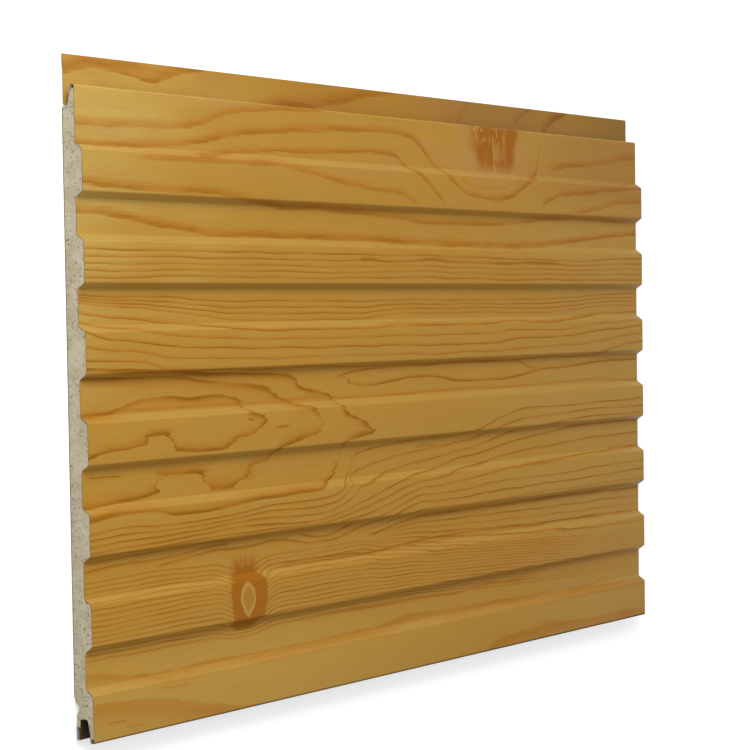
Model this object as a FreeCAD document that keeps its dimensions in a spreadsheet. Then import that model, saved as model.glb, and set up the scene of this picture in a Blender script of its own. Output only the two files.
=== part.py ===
import FreeCAD, Part
import math
import os

import Sketcher

# Insulated sandwich panel: a roll-formed painted steel face with seven ribs, a rigid foam core
# and a foil back, joined along its long edges by a tongue and groove.
# Millimetres. X runs along the panel, Y across it from the lip to the nailing flange, and Z from
# the foil back up to the rib crowns. The origin is under the middle of the panel, on its back.

# ---------------------------------------------------------------------------------------------
# Driving dimensions. Levels are heights above the back, reaches are measured from the cover
# line, and heights near the lip are measured from the lip's lowest edge.
# ---------------------------------------------------------------------------------------------
SIZES = {
    # overall
    "panel_length": 670.0,
    "cover_width": 383.0,
    "panel_thickness": 16.0,
    "sheet_thickness": 0.3,
    "foil_thickness": 0.1,
    # ribs, on the core side of the steel
    "rib_count": 7,
    "rib_depth": 5.6,
    "rib_crown": 24.8,
    "bevel_run": 3.8,
    "first_rib_centre": 16.4,
    "bend_radius": 1.2,
    # nailing flange with its hem
    "flange_reach": 31.4,
    "flange_level": 1.5,
    "hem_width": 7.3,
    "hem_gap": 0.1,
    # seat groove between the flange and the nose
    "seat_reach": 0.7,
    "seat_width": 3.0,
    "seat_radius": 1.4,
    # nose, the tongue of the joint
    "nose_reach": 12.6,
    "nose_tip_height": 3.0,
    "nose_radius": 1.05,
    "nose_void": 2.0,
    # lip that covers the joint
    "lip_shoulder": 5.2,
    "lip_radius": 0.5,
    "lip_void": 2.4,
    # clearances in the closed joint
    "lip_gap": 2.2,
    "throat_gap": 0.2,
    "nose_tip_gap": 1.5,
    "leg_root_gap": 2.2,
    "leg_front_gap": 0.35,
    "leg_back_gap": 0.3,
    "leg_floor_gap": 0.4,
    # hooked leg
    "leg_radius": 0.8,
    "hook_height": 8.9,
    "hook_grip": 0.8,
    # back of the foam
    "notch_start": 6.3,
    "notch_depth": 3.9,
    "notch_rise": 3.1,
    "notch_floor": 2.4,
    "notch_shoulder": 1.0,
    "notch_fall": 2.1,
    "notch_run_out": 2.9,
    "back_setback": 0.6,
}

SHEET = "sizes"


class Size:
    """A length that carries its value and the spreadsheet expression that gives it."""

    def __init__(self, value, text):
        self.value = value
        self.text = text

    @staticmethod
    def of(item):
        if isinstance(item, Size):
            return item
        return Size(item, repr(item))

    def join(self, sign, other, value):
        return Size(value, "({} {} {})".format(self.text, sign, other.text))

    def __add__(self, item):
        other = Size.of(item)
        return self.join("+", other, self.value + other.value)

    def __sub__(self, item):
        other = Size.of(item)
        return self.join("-", other, self.value - other.value)

    def __mul__(self, item):
        other = Size.of(item)
        return self.join("*", other, self.value * other.value)

    def __truediv__(self, item):
        other = Size.of(item)
        return self.join("/", other, self.value / other.value)


def make_sheet(doc):
    """Write the driving dimensions to the spreadsheet and return them as named sizes."""
    sheet = doc.addObject("Spreadsheet::Sheet", SHEET)
    named = {}
    for row, (alias, value) in enumerate(SIZES.items(), start=1):
        sheet.set("A{}".format(row), alias)
        sheet.set("B{}".format(row), str(value))
        sheet.setAlias("B{}".format(row), alias)
        named[alias] = Size(float(value), "{}.{}".format(SHEET, alias))
    doc.recompute()
    return named


# ---------------------------------------------------------------------------------------------
# Sketches drawn from corners
# ---------------------------------------------------------------------------------------------
class Corner:
    """A corner of a profile: its place across and up the section, and its bend radius."""

    def __init__(self, across, up, radius=None):
        self.across = across
        self.up = up
        self.radius = radius

    def point(self):
        return FreeCAD.Vector(self.across.value, self.up.value, 0)

    def trims(self, before, after):
        """The two points where the bend meets the straights on either side of it."""
        here = self.point()
        if self.radius is None:
            return here, here
        back = (before - here).normalize()
        ahead = (after - here).normalize()
        half = back.getAngle(ahead) / 2.0
        reach = self.radius.value / math.tan(half)
        return here + back * reach, here + ahead * reach

    def arc(self, before, after):
        """The bend itself, between its two trim points."""
        start, end = self.trims(before, after)
        here = self.point()
        middle = ((start + end) * 0.5 - here).normalize()
        half = (before - here).getAngle(after - here) / 2.0
        centre = here + middle * (self.radius.value / math.sin(half))
        crown = centre - middle * self.radius.value
        return Part.Arc(start, crown, end)


def draw_profile(sketch, corners, closed):
    """Fill a sketch with the straights and bends that run through the corners.

    Every corner is a fixed point. The straights pass through these points and the bends are
    tangent to the straights, so the sketch is fully constrained by the bound dimensions.
    """
    count = len(corners)
    points = [corner.point() for corner in corners]
    straights = count if closed else count - 1
    rules = []
    bound = []

    def trims(index):
        if not closed and index in (0, count - 1):
            return points[index], points[index]
        before = points[index - 1]
        after = points[(index + 1) % count]
        return corners[index].trims(before, after)

    marks = [sketch.addGeometry(Part.Point(point), True) for point in points]
    for mark, corner in zip(marks, corners):
        for kind, size in (("DistanceX", corner.across), ("DistanceY", corner.up)):
            bound.append((len(rules), size))
            rules.append(Sketcher.Constraint(kind, mark, 1, size.value))

    lines = []
    for index in range(straights):
        after = (index + 1) % count
        start = trims(index)[1]
        end = trims(after)[0]
        lines.append(sketch.addGeometry(Part.LineSegment(start, end), False))

    for index, corner in enumerate(corners):
        inner = closed or 0 < index < count - 1
        before = lines[index - 1] if inner or index == count - 1 else None
        after = lines[index] if inner or index == 0 else None
        if corner.radius is None:
            if before is not None:
                rules.append(Sketcher.Constraint("Coincident", before, 2, marks[index], 1))
            if after is not None:
                rules.append(Sketcher.Constraint("Coincident", after, 1, marks[index], 1))
            continue
        arc = corner.arc(points[index - 1], points[(index + 1) % count])
        bend = sketch.addGeometry(arc, False)
        first, last = trims(index)
        start = sketch.getPoint(bend, 1)
        forward = start.distanceToPoint(first) < start.distanceToPoint(last)
        head, tail = (1, 2) if forward else (2, 1)
        rules.append(Sketcher.Constraint("PointOnObject", marks[index], 1, before))
        rules.append(Sketcher.Constraint("PointOnObject", marks[index], 1, after))
        rules.append(Sketcher.Constraint("Tangent", before, 2, bend, head))
        rules.append(Sketcher.Constraint("Tangent", bend, tail, after, 1))
        bound.append((len(rules), corner.radius))
        rules.append(Sketcher.Constraint("Radius", bend, corner.radius.value))

    sketch.addConstraint(rules)
    for rule, size in bound:
        sketch.setExpression("Constraints[{}]".format(rule), size.text)


def make_body(doc, label, overall_width):
    """A body centred across the panel, with its section plane looking along the panel."""
    body = doc.addObject("PartDesign::Body", label)
    body.Label = label
    body.setExpression(".Placement.Base.y", (overall_width / -2.0).text)
    return body


def make_sketch(body, name, corners, closed):
    """A section sketch on the body's own YZ plane."""
    plane = [item for item in body.Origin.OriginFeatures if item.Role == "YZ_Plane"][0]
    sketch = body.newObject("Sketcher::SketchObject", name)
    sketch.AttachmentSupport = [(plane, "")]
    sketch.MapMode = "FlatFace"
    draw_profile(sketch, corners, closed)
    return sketch


def pad_along(body, name, profile, length):
    """Pad a section both ways along the panel."""
    pad = body.newObject("PartDesign::Pad", name)
    pad.Profile = (profile, [""])
    pad.Midplane = True
    pad.setExpression("Length", length.text)
    body.Tip = pad
    return pad


# ---------------------------------------------------------------------------------------------
# The section of the panel, on the core side of the steel
# ---------------------------------------------------------------------------------------------
class Section:
    """Corner lists of the panel's section, shared by the steel and the foam it is bonded to."""

    def __init__(self, size):
        self.size = size
        steel = size["sheet_thickness"]
        self.pitch = size["cover_width"] / size["rib_count"]
        self.crown_level = size["panel_thickness"] - steel
        self.recess_face = size["panel_thickness"] - size["rib_depth"]
        self.recess_level = self.recess_face - steel
        self.inside_bend = size["bend_radius"]
        self.outside_bend = size["bend_radius"] + steel
        # joint levels on the painted side
        self.nose_root_face = size["flange_level"] + size["seat_width"]
        self.nose_tip_face = self.recess_face - size["nose_tip_height"]
        self.lip_face = self.recess_face + size["lip_gap"]
        self.throat_face = self.recess_face + size["throat_gap"]
        self.leg_root_face = self.nose_tip_face - size["leg_root_gap"]
        self.leg_toe_face = self.nose_root_face - size["leg_front_gap"]
        self.leg_back_face = size["flange_level"] + size["leg_back_gap"]
        self.leg_bottom = size["seat_reach"] + size["leg_floor_gap"]
        self.groove_top = size["nose_reach"] + size["nose_tip_gap"]
        # places across the panel
        self.overall_width = size["cover_width"] + size["flange_reach"]
        self.seat_floor = size["cover_width"] + size["seat_reach"] - steel
        self.nose_tip = size["cover_width"] + size["nose_reach"] - steel
        self.hook_end = self.leg_bottom + size["hook_height"]
        self.notch_start = self.hook_end + size["notch_start"]
        self.back_edge = self.notch_start + size["notch_rise"] + size["notch_floor"] \
            + size["notch_fall"] + size["notch_run_out"]
        self.back_top = size["cover_width"] - size["back_setback"]

    def flange(self):
        """Hem and nailing flange, from the hem's raw edge to the seat."""
        size = self.size
        steel = size["sheet_thickness"]
        front = size["flange_level"] - steel
        behind = front - size["hem_gap"]
        top = self.overall_width - steel
        fold = size["hem_gap"] * 0.45
        return [
            Corner(self.overall_width - size["hem_width"], behind),
            Corner(top, behind, fold),
            Corner(top, front, fold),
            Corner(self.seat_floor, front, size["seat_radius"] + steel),
        ]

    def nose_root(self):
        steel = self.size["sheet_thickness"]
        return Corner(self.seat_floor, self.nose_root_face + steel,
                      self.size["seat_radius"] + steel)

    def nose_tip_corners(self):
        """The rounded end of the nose."""
        steel = self.size["sheet_thickness"]
        radius = self.size["nose_radius"]
        return [
            Corner(self.nose_tip, self.nose_tip_face + steel, radius),
            Corner(self.nose_tip, self.recess_level, radius),
        ]

    def rib(self, index):
        """One rib, from its upper bevel down to its lower one."""
        size = self.size
        half = size["rib_crown"] / 2.0
        foot = half + size["bevel_run"]
        centre = size["first_rib_centre"] + self.pitch * index
        return [
            Corner(centre + foot, self.recess_level, self.outside_bend),
            Corner(centre + half, self.crown_level, self.inside_bend),
            Corner(centre - half, self.crown_level, self.inside_bend),
            Corner(centre - foot, self.recess_level, self.outside_bend),
        ]

    def recess_middle(self, above):
        """The middle of the recess above a rib, where one length of section meets the next."""
        across = self.size["first_rib_centre"] + self.pitch * (above + 0.5)
        return Corner(across, self.recess_level)

    def lip_corners(self):
        """The rounded edge of the lip."""
        steel = self.size["sheet_thickness"]
        radius = self.size["lip_radius"]
        return [
            Corner(steel, self.crown_level, radius),
            Corner(steel, self.lip_face + steel, radius),
        ]

    def groove(self):
        """The groove behind the lip, from the lip's shoulder over its top to the leg."""
        size = self.size
        steel = size["sheet_thickness"]
        top = self.groove_top + steel
        return [
            Corner(size["lip_shoulder"], self.lip_face + steel, self.outside_bend),
            Corner(top, self.throat_face + steel, self.outside_bend),
            Corner(top, self.leg_root_face - steel, self.outside_bend),
        ]

    def leg(self):
        """The leg below the groove and the hook that turns up behind it."""
        size = self.size
        steel = size["sheet_thickness"]
        bottom = self.leg_bottom + steel
        back = self.leg_back_face + steel
        return [
            Corner(bottom, self.leg_toe_face - steel, size["leg_radius"]),
            Corner(bottom, back, size["leg_radius"]),
            Corner(self.hook_end, back),
        ]

    def steel_tongue(self):
        """Hem, flange, seat and nose, down to the recess above the last rib."""
        last = int(self.size["rib_count"].value) - 1
        return (self.flange() + [self.nose_root()] + self.nose_tip_corners()
                + [self.recess_middle(last)])

    def steel_rib(self):
        """One rib with half a recess on either side."""
        return [self.recess_middle(1)] + self.rib(1) + [self.recess_middle(0)]

    def steel_lip(self):
        """The first rib with the lip, the groove and the hooked leg."""
        return ([self.recess_middle(0)] + self.rib(0)[:2] + self.lip_corners() + self.groove()
                + self.leg())

    def foam_tongue(self):
        """Foam behind the seat and in the nose, short of the nose's tip."""
        size = self.size
        last = self.recess_middle(int(size["rib_count"].value) - 1)
        back = size["foil_thickness"]
        root = self.nose_root()
        tip = self.nose_tip_corners()[0]
        slope = (tip.up - root.up) / (tip.across - root.across)
        end = self.nose_tip - size["nose_void"]
        return [
            Corner(last.across, back),
            Corner(self.back_top, back),
            Corner(self.seat_floor, size["flange_level"] + size["seat_radius"]),
            root,
            Corner(end, root.up + slope * (end - root.across)),
            Corner(end, self.recess_level),
            last,
        ]

    def foam_rib(self):
        """Foam under one rib and half a recess on either side."""
        back = self.size["foil_thickness"]
        upper = self.recess_middle(1)
        lower = self.recess_middle(0)
        return [upper] + self.rib(1) + [lower, Corner(lower.across, back),
                                        Corner(upper.across, back)]

    def foam_lip(self):
        """Foam in the first rib, short of the lip's edge and of the leg's toe."""
        size = self.size
        back = size["foil_thickness"]
        first = self.recess_middle(0)
        lip_end = size["sheet_thickness"] + size["lip_void"]
        toe, heel, hook = self.leg()
        arch = self.groove()[-1]
        lean = (arch.up - toe.up) / (arch.across - toe.across)
        grip = self.hook_end - size["hook_grip"]
        notch = self.notch_start
        return [first] + self.rib(0)[:2] + [
            Corner(lip_end, self.crown_level),
            Corner(lip_end, self.lip_face + size["sheet_thickness"]),
        ] + self.groove() + [
            Corner(grip, toe.up + lean * (grip - toe.across)),
            Corner(grip, heel.up),
            Corner(self.hook_end, heel.up),
            Corner(self.hook_end, self.leg_back_face),
            Corner(notch, self.leg_back_face),
            Corner(notch + size["notch_rise"], size["notch_depth"]),
            Corner(notch + size["notch_rise"] + size["notch_floor"], size["notch_depth"]),
            Corner(self.back_edge - size["notch_run_out"], size["notch_shoulder"]),
            Corner(self.back_edge, back),
            Corner(first.across, back),
        ]


# ---------------------------------------------------------------------------------------------
# The three pieces
# ---------------------------------------------------------------------------------------------
def repeat_rib(body, pad, section):
    """Repeat the padded rib across the cover width."""
    across = [item for item in body.Origin.OriginFeatures if item.Role == "Y_Axis"][0]
    ribs = body.newObject("PartDesign::LinearPattern", pad.Name + "s")
    ribs.Originals = [pad]
    ribs.Direction = (across, [""])
    copies = section.size["rib_count"] - 1
    reach = section.pitch * (copies - 1)
    ribs.setExpression("Length", reach.text)
    ribs.setExpression("Occurrences", copies.text)
    body.Tip = ribs
    return ribs


def build_face_sheet(doc, size, section):
    """Roll-formed strip: the section line thickened to the painted side and padded along X."""
    body = make_body(doc, "face_sheet", section.overall_width)

    def roll(name, corners):
        line = make_sketch(body, name + "_line", corners, closed=False)
        doc.recompute()
        strip = body.newObject("PartDesign::SubShapeBinder", name + "_section")
        strip.Support = [(line, ("",))]
        strip.OffsetJoinType = 2
        strip.OffsetFill = True
        strip.OffsetOpenResult = True
        strip.setExpression("Offset", size["sheet_thickness"].text)
        doc.recompute()
        return pad_along(body, name, strip, size["panel_length"])

    rib = roll("steel_rib", section.steel_rib())
    doc.recompute()
    repeat_rib(body, rib, section)
    doc.recompute()
    roll("steel_tongue", section.steel_tongue())
    roll("steel_lip", section.steel_lip())
    return body


def build_foam_core(doc, size, section):
    """Foam block: the same section line closed along the back of the panel."""
    body = make_body(doc, "foam_core", section.overall_width)

    def pour(name, corners):
        outline = make_sketch(body, name + "_outline", corners, closed=True)
        doc.recompute()
        return pad_along(body, name, outline, size["panel_length"])

    rib = pour("foam_rib", section.foam_rib())
    doc.recompute()
    repeat_rib(body, rib, section)
    doc.recompute()
    pour("foam_tongue", section.foam_tongue())
    pour("foam_lip", section.foam_lip())
    return body


def build_backing_foil(doc, size, section):
    """Flat foil over the back of the foam, between the notch and the seat."""
    foil = doc.addObject("Part::Box", "backing_foil")
    foil.Label = "backing_foil"
    width = section.back_top - section.back_edge
    foil.setExpression("Length", size["panel_length"].text)
    foil.setExpression("Width", width.text)
    foil.setExpression("Height", size["foil_thickness"].text)
    foil.setExpression(".Placement.Base.x", (size["panel_length"] / -2.0).text)
    start = section.back_edge - section.overall_width / 2.0
    foil.setExpression(".Placement.Base.y", start.text)
    return foil


def check(doc, pieces):
    """Stop on any feature that failed and on any piece that isn't one sound solid."""
    for item in doc.Objects:
        if "Invalid" in item.State or "Error" in item.State:
            raise RuntimeError("{} failed: {}".format(item.Name, item.State))
    for piece in pieces:
        shape = piece.Shape
        if shape.isNull() or not shape.isValid() or len(shape.Solids) != 1:
            raise RuntimeError("{} isn't one valid solid".format(piece.Label))


def main():
    doc = FreeCAD.newDocument("sandwich_panel")
    size = make_sheet(doc)
    section = Section(size)
    pieces = [
        build_face_sheet(doc, size, section),
        build_foam_core(doc, size, section),
        build_backing_foil(doc, size, section),
    ]
    doc.recompute()
    check(doc, pieces)
    os.makedirs("parts", exist_ok=True)
    for piece in pieces:
        piece.Shape.exportStep("parts/{}.step".format(piece.Label))
        box = piece.Shape.BoundBox
        print("{}: volume {:.0f}, X {:.2f}..{:.2f}, Y {:.2f}..{:.2f}, Z {:.2f}..{:.2f}".format(
            piece.Label, piece.Shape.Volume, box.XMin, box.XMax, box.YMin, box.YMax,
            box.ZMin, box.ZMax))


main()
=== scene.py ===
"""Insulated sandwich panel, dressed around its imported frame.

The panel lies on its foil back. X runs along it, Y across it from the lip to the nailing flange,
and Z up from the back to the rib crowns. All lengths are in metres unless a name ends in _mm.
"""

import logging
import math
from dataclasses import dataclass
from enum import Enum
from functools import reduce
from typing import Callable, Sequence

import bmesh
import bpy
from mathutils import Matrix, Vector


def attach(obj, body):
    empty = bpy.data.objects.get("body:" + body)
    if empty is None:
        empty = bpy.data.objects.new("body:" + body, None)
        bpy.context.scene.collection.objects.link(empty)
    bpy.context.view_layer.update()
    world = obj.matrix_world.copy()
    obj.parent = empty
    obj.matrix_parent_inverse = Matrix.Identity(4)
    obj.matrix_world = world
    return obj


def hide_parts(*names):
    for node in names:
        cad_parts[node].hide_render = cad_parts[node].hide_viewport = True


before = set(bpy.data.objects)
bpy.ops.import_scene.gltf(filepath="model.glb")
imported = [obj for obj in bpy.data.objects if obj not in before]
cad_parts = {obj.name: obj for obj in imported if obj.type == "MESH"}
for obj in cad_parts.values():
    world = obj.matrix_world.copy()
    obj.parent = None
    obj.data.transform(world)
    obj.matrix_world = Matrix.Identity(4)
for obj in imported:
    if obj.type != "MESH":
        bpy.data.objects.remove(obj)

LOG = logging.getLogger("sandwich_panel")
MM = 0.001
BODY = "root"
PRINT_MAP = "print"
WHITE = (1.0, 1.0, 1.0, 1.0)

# How near two places have to be to count as one, in metres.
SAME_POINT = 1e-7
SAME_LINE = 1e-6
SAME_END = 1e-5

Socket = bpy.types.NodeSocket
Value = float | Socket
Colour = tuple[float, float, float]
Point = tuple[float, float]
Run = tuple[Point, ...]
Window = tuple[float, float, float, float]


# ---------------------------------------------------------------------------------------------
# Section of the panel
# ---------------------------------------------------------------------------------------------
@dataclass(frozen=True)
class Bend:
    """A corner of the section, in millimetres.

    Attributes:
        across: distance from the lip's lowest edge.
        up: height above the back.
        radius: bend radius on the core side, or 0 for a sharp corner.
    """

    across: float
    up: float
    radius: float = 0.0

    def vector(self) -> Vector:
        """The corner as a point of the YZ plane."""
        return Vector((self.across, self.up))


@dataclass(frozen=True)
class PanelSizes:
    """Sizes of the panel in millimetres, as its frame is built."""

    length: float = 670.0
    cover_width: float = 383.0
    thickness: float = 16.0
    sheet: float = 0.3
    foil: float = 0.1
    rib_count: int = 7
    rib_depth: float = 5.6
    rib_crown: float = 24.8
    bevel_run: float = 3.8
    first_rib_centre: float = 16.4
    bend_radius: float = 1.2
    flange_reach: float = 31.4
    flange_level: float = 1.5
    hem_width: float = 7.3
    hem_gap: float = 0.1
    seat_reach: float = 0.7
    seat_width: float = 3.0
    seat_radius: float = 1.4
    nose_reach: float = 12.6
    nose_tip_height: float = 3.0
    nose_radius: float = 1.05
    nose_void: float = 2.0
    lip_shoulder: float = 5.2
    lip_radius: float = 0.5
    lip_void: float = 2.4
    lip_gap: float = 2.2
    throat_gap: float = 0.2
    nose_tip_gap: float = 1.5
    leg_root_gap: float = 2.2
    leg_front_gap: float = 0.35
    leg_back_gap: float = 0.3
    leg_floor_gap: float = 0.4
    leg_radius: float = 0.8
    hook_height: float = 8.9
    hook_grip: float = 0.8
    notch_start: float = 6.3
    notch_depth: float = 3.9
    notch_rise: float = 3.1
    notch_floor: float = 2.4
    notch_shoulder: float = 1.0
    notch_fall: float = 2.1
    notch_run_out: float = 2.9
    back_setback: float = 0.6

    @property
    def overall_width(self) -> float:
        """Width from the lip to the top of the flange."""
        return self.cover_width + self.flange_reach

    @property
    def recess_face(self) -> float:
        """Height of the painted recesses."""
        return self.thickness - self.rib_depth

    @property
    def back_top(self) -> float:
        """Upper edge of the flat back."""
        return self.cover_width - self.back_setback

    @property
    def hook_end(self) -> float:
        """Raw end of the hook behind the leg."""
        return self.seat_reach + self.leg_floor_gap + self.hook_height

    @property
    def back_edge(self) -> float:
        """Lower edge of the flat back."""
        return (self.hook_end + self.notch_start + self.notch_rise + self.notch_floor
                + self.notch_fall + self.notch_run_out)


# Radius of the hem's two corners, as a share of its gap, so that they nearly meet.
HEM_ROUNDING = 0.45


@dataclass(frozen=True)
class Section:
    """Corner lists of the section, on the face where steel and foam are bonded.

    Attributes:
        size: the panel's sizes.
    """

    size: PanelSizes

    def flange(self) -> list[Bend]:
        """Hem and nailing flange down to the seat.

        Returns:
            The bends, from the hem's raw edge.
        """
        s = self.size
        front = s.flange_level - s.sheet
        behind = front - s.hem_gap
        top = s.overall_width - s.sheet
        fold = s.hem_gap * HEM_ROUNDING
        return [
            Bend(s.overall_width - s.hem_width, behind),
            Bend(top, behind, fold),
            Bend(top, front, fold),
            Bend(self.seat_floor(), front, s.seat_radius + s.sheet),
        ]

    def seat_floor(self) -> float:
        """Floor of the seat groove on the core side."""
        return self.size.cover_width + self.size.seat_reach - self.size.sheet

    def nose(self) -> list[Bend]:
        """Root and rounded tip of the nose.

        Returns:
            The bends, from the seat groove to the face.
        """
        s = self.size
        tip = s.cover_width + s.nose_reach - s.sheet
        return [
            Bend(self.seat_floor(), s.flange_level + s.seat_width + s.sheet,
                 s.seat_radius + s.sheet),
            Bend(tip, s.recess_face - s.nose_tip_height + s.sheet, s.nose_radius),
            Bend(tip, s.recess_face - s.sheet, s.nose_radius),
        ]

    def ribs(self) -> list[Bend]:
        """All ribs from the nose down to the upper bevel of the lip's rib.

        Returns:
            The bends, from the flange's side to the lip's.
        """
        s = self.size
        low = s.recess_face - s.sheet
        high = s.thickness - s.sheet
        half = s.rib_crown / 2
        foot = half + s.bevel_run
        bends = []
        for index in reversed(range(s.rib_count)):
            centre = s.first_rib_centre + s.cover_width / s.rib_count * index
            bends.append(Bend(centre + foot, low, s.bend_radius + s.sheet))
            bends.append(Bend(centre + half, high, s.bend_radius))
            if index:
                bends.append(Bend(centre - half, high, s.bend_radius))
                bends.append(Bend(centre - foot, low, s.bend_radius + s.sheet))
        return bends

    def lip(self) -> list[Bend]:
        """Rounded edge of the lip.

        Returns:
            The bends, from the face to the inside.
        """
        s = self.size
        return [
            Bend(s.sheet, s.thickness - s.sheet, s.lip_radius),
            Bend(s.sheet, s.recess_face + s.lip_gap + s.sheet, s.lip_radius),
        ]

    def groove(self) -> list[Bend]:
        """Groove behind the lip, over its top to the leg.

        Returns:
            The bends, from the lip to the leg.
        """
        s = self.size
        top = s.nose_reach + s.nose_tip_gap + s.sheet
        radius = s.bend_radius + s.sheet
        root = s.recess_face - s.nose_tip_height - s.leg_root_gap - s.sheet
        return [
            Bend(s.lip_shoulder, s.recess_face + s.lip_gap + s.sheet, radius),
            Bend(top, s.recess_face + s.throat_gap + s.sheet, radius),
            Bend(top, root, radius),
        ]

    def leg(self) -> list[Bend]:
        """Toe of the leg and the hook behind it.

        Returns:
            The bends, down to the hook's raw end.
        """
        s = self.size
        bottom = s.seat_reach + s.leg_floor_gap + s.sheet
        toe = s.flange_level + s.seat_width - s.leg_front_gap - s.sheet
        back = s.flange_level + s.leg_back_gap + s.sheet
        return [
            Bend(bottom, toe, s.leg_radius),
            Bend(bottom, back, s.leg_radius),
            Bend(s.hook_end, back),
        ]

    def steel(self) -> list[Bend]:
        """The whole strip, from the hem's raw edge to the hook's."""
        return (self.flange() + self.nose() + self.ribs() + self.lip() + self.groove()
                + self.leg())

    def foam(self) -> list[Bend]:
        """The foam's outline, from the lower edge of its back round to the notch.

        Returns:
            The corners of the closed outline.
        """
        s = self.size
        root, tip, front = self.nose()
        end = tip.across - s.nose_void
        under = root.up + (tip.up - root.up) * (end - root.across) / (tip.across - root.across)
        lip_end = s.sheet + s.lip_void
        inner = s.recess_face + s.lip_gap + s.sheet
        arch = self.groove()[-1]
        toe, heel, _ = self.leg()
        grip = s.hook_end - s.hook_grip
        lean = (arch.up - toe.up) / (arch.across - toe.across)
        hook_face = heel.up - s.sheet
        notch = s.hook_end + s.notch_start
        floor = notch + s.notch_rise
        return [
            Bend(s.back_edge, s.foil),
            Bend(s.back_top, s.foil),
            Bend(self.seat_floor(), s.flange_level + s.seat_radius),
            root,
            Bend(end, under),
            Bend(end, front.up),
            *self.ribs(),
            Bend(lip_end, s.thickness - s.sheet),
            Bend(lip_end, inner),
            *self.groove(),
            Bend(grip, toe.up + lean * (grip - toe.across)),
            Bend(grip, heel.up),
            Bend(s.hook_end, heel.up),
            Bend(s.hook_end, hook_face),
            Bend(notch, hook_face),
            Bend(floor, s.notch_depth),
            Bend(floor + s.notch_floor, s.notch_depth),
            Bend(s.back_edge - s.notch_run_out, s.notch_shoulder),
        ]


# ---------------------------------------------------------------------------------------------
# Modelling by hand
# ---------------------------------------------------------------------------------------------
def deselect_all() -> None:
    """Leave nothing selected, so that the next operator acts on its own piece alone."""
    if bpy.context.mode != "OBJECT":
        bpy.ops.object.mode_set(mode="OBJECT")
    bpy.ops.object.select_all(action="DESELECT")


def place_here(piece: bpy.types.Object) -> None:
    """Put a piece's place, turn and scale into its mesh.

    Args:
        piece: the object to settle; it becomes the only selected and active one.
    """
    deselect_all()
    piece.select_set(True)
    bpy.context.view_layer.objects.active = piece
    bpy.ops.object.transform_apply(location=True, rotation=True, scale=True)


def select_parts(piece: bpy.types.Object, mode: str,
                 wanted: Callable[[bmesh.types.BMVert | bmesh.types.BMEdge
                                   | bmesh.types.BMFace], bool]) -> int:
    """Select vertices, edges or faces of the piece in edit mode by a test.

    Args:
        piece: the object in edit mode.
        mode: "VERT", "EDGE" or "FACE".
        wanted: the test that a part has to pass.

    Returns:
        How many parts were selected.
    """
    bpy.ops.mesh.select_all(action="DESELECT")
    bpy.ops.mesh.select_mode(type=mode)
    mesh = bmesh.from_edit_mesh(piece.data)
    parts = {"VERT": mesh.verts, "EDGE": mesh.edges, "FACE": mesh.faces}[mode]
    count = 0
    for part in parts:
        if wanted(part):
            part.select_set(True)
            count += 1
    mesh.select_flush_mode()
    bmesh.update_edit_mesh(piece.data)
    return count


def apply_modifiers(piece: bpy.types.Object) -> None:
    """Apply every modifier of a piece in order.

    Args:
        piece: the object to finish.
    """
    deselect_all()
    piece.select_set(True)
    bpy.context.view_layer.objects.active = piece
    for modifier in list(piece.modifiers):
        bpy.ops.object.modifier_apply(modifier=modifier.name)


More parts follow.
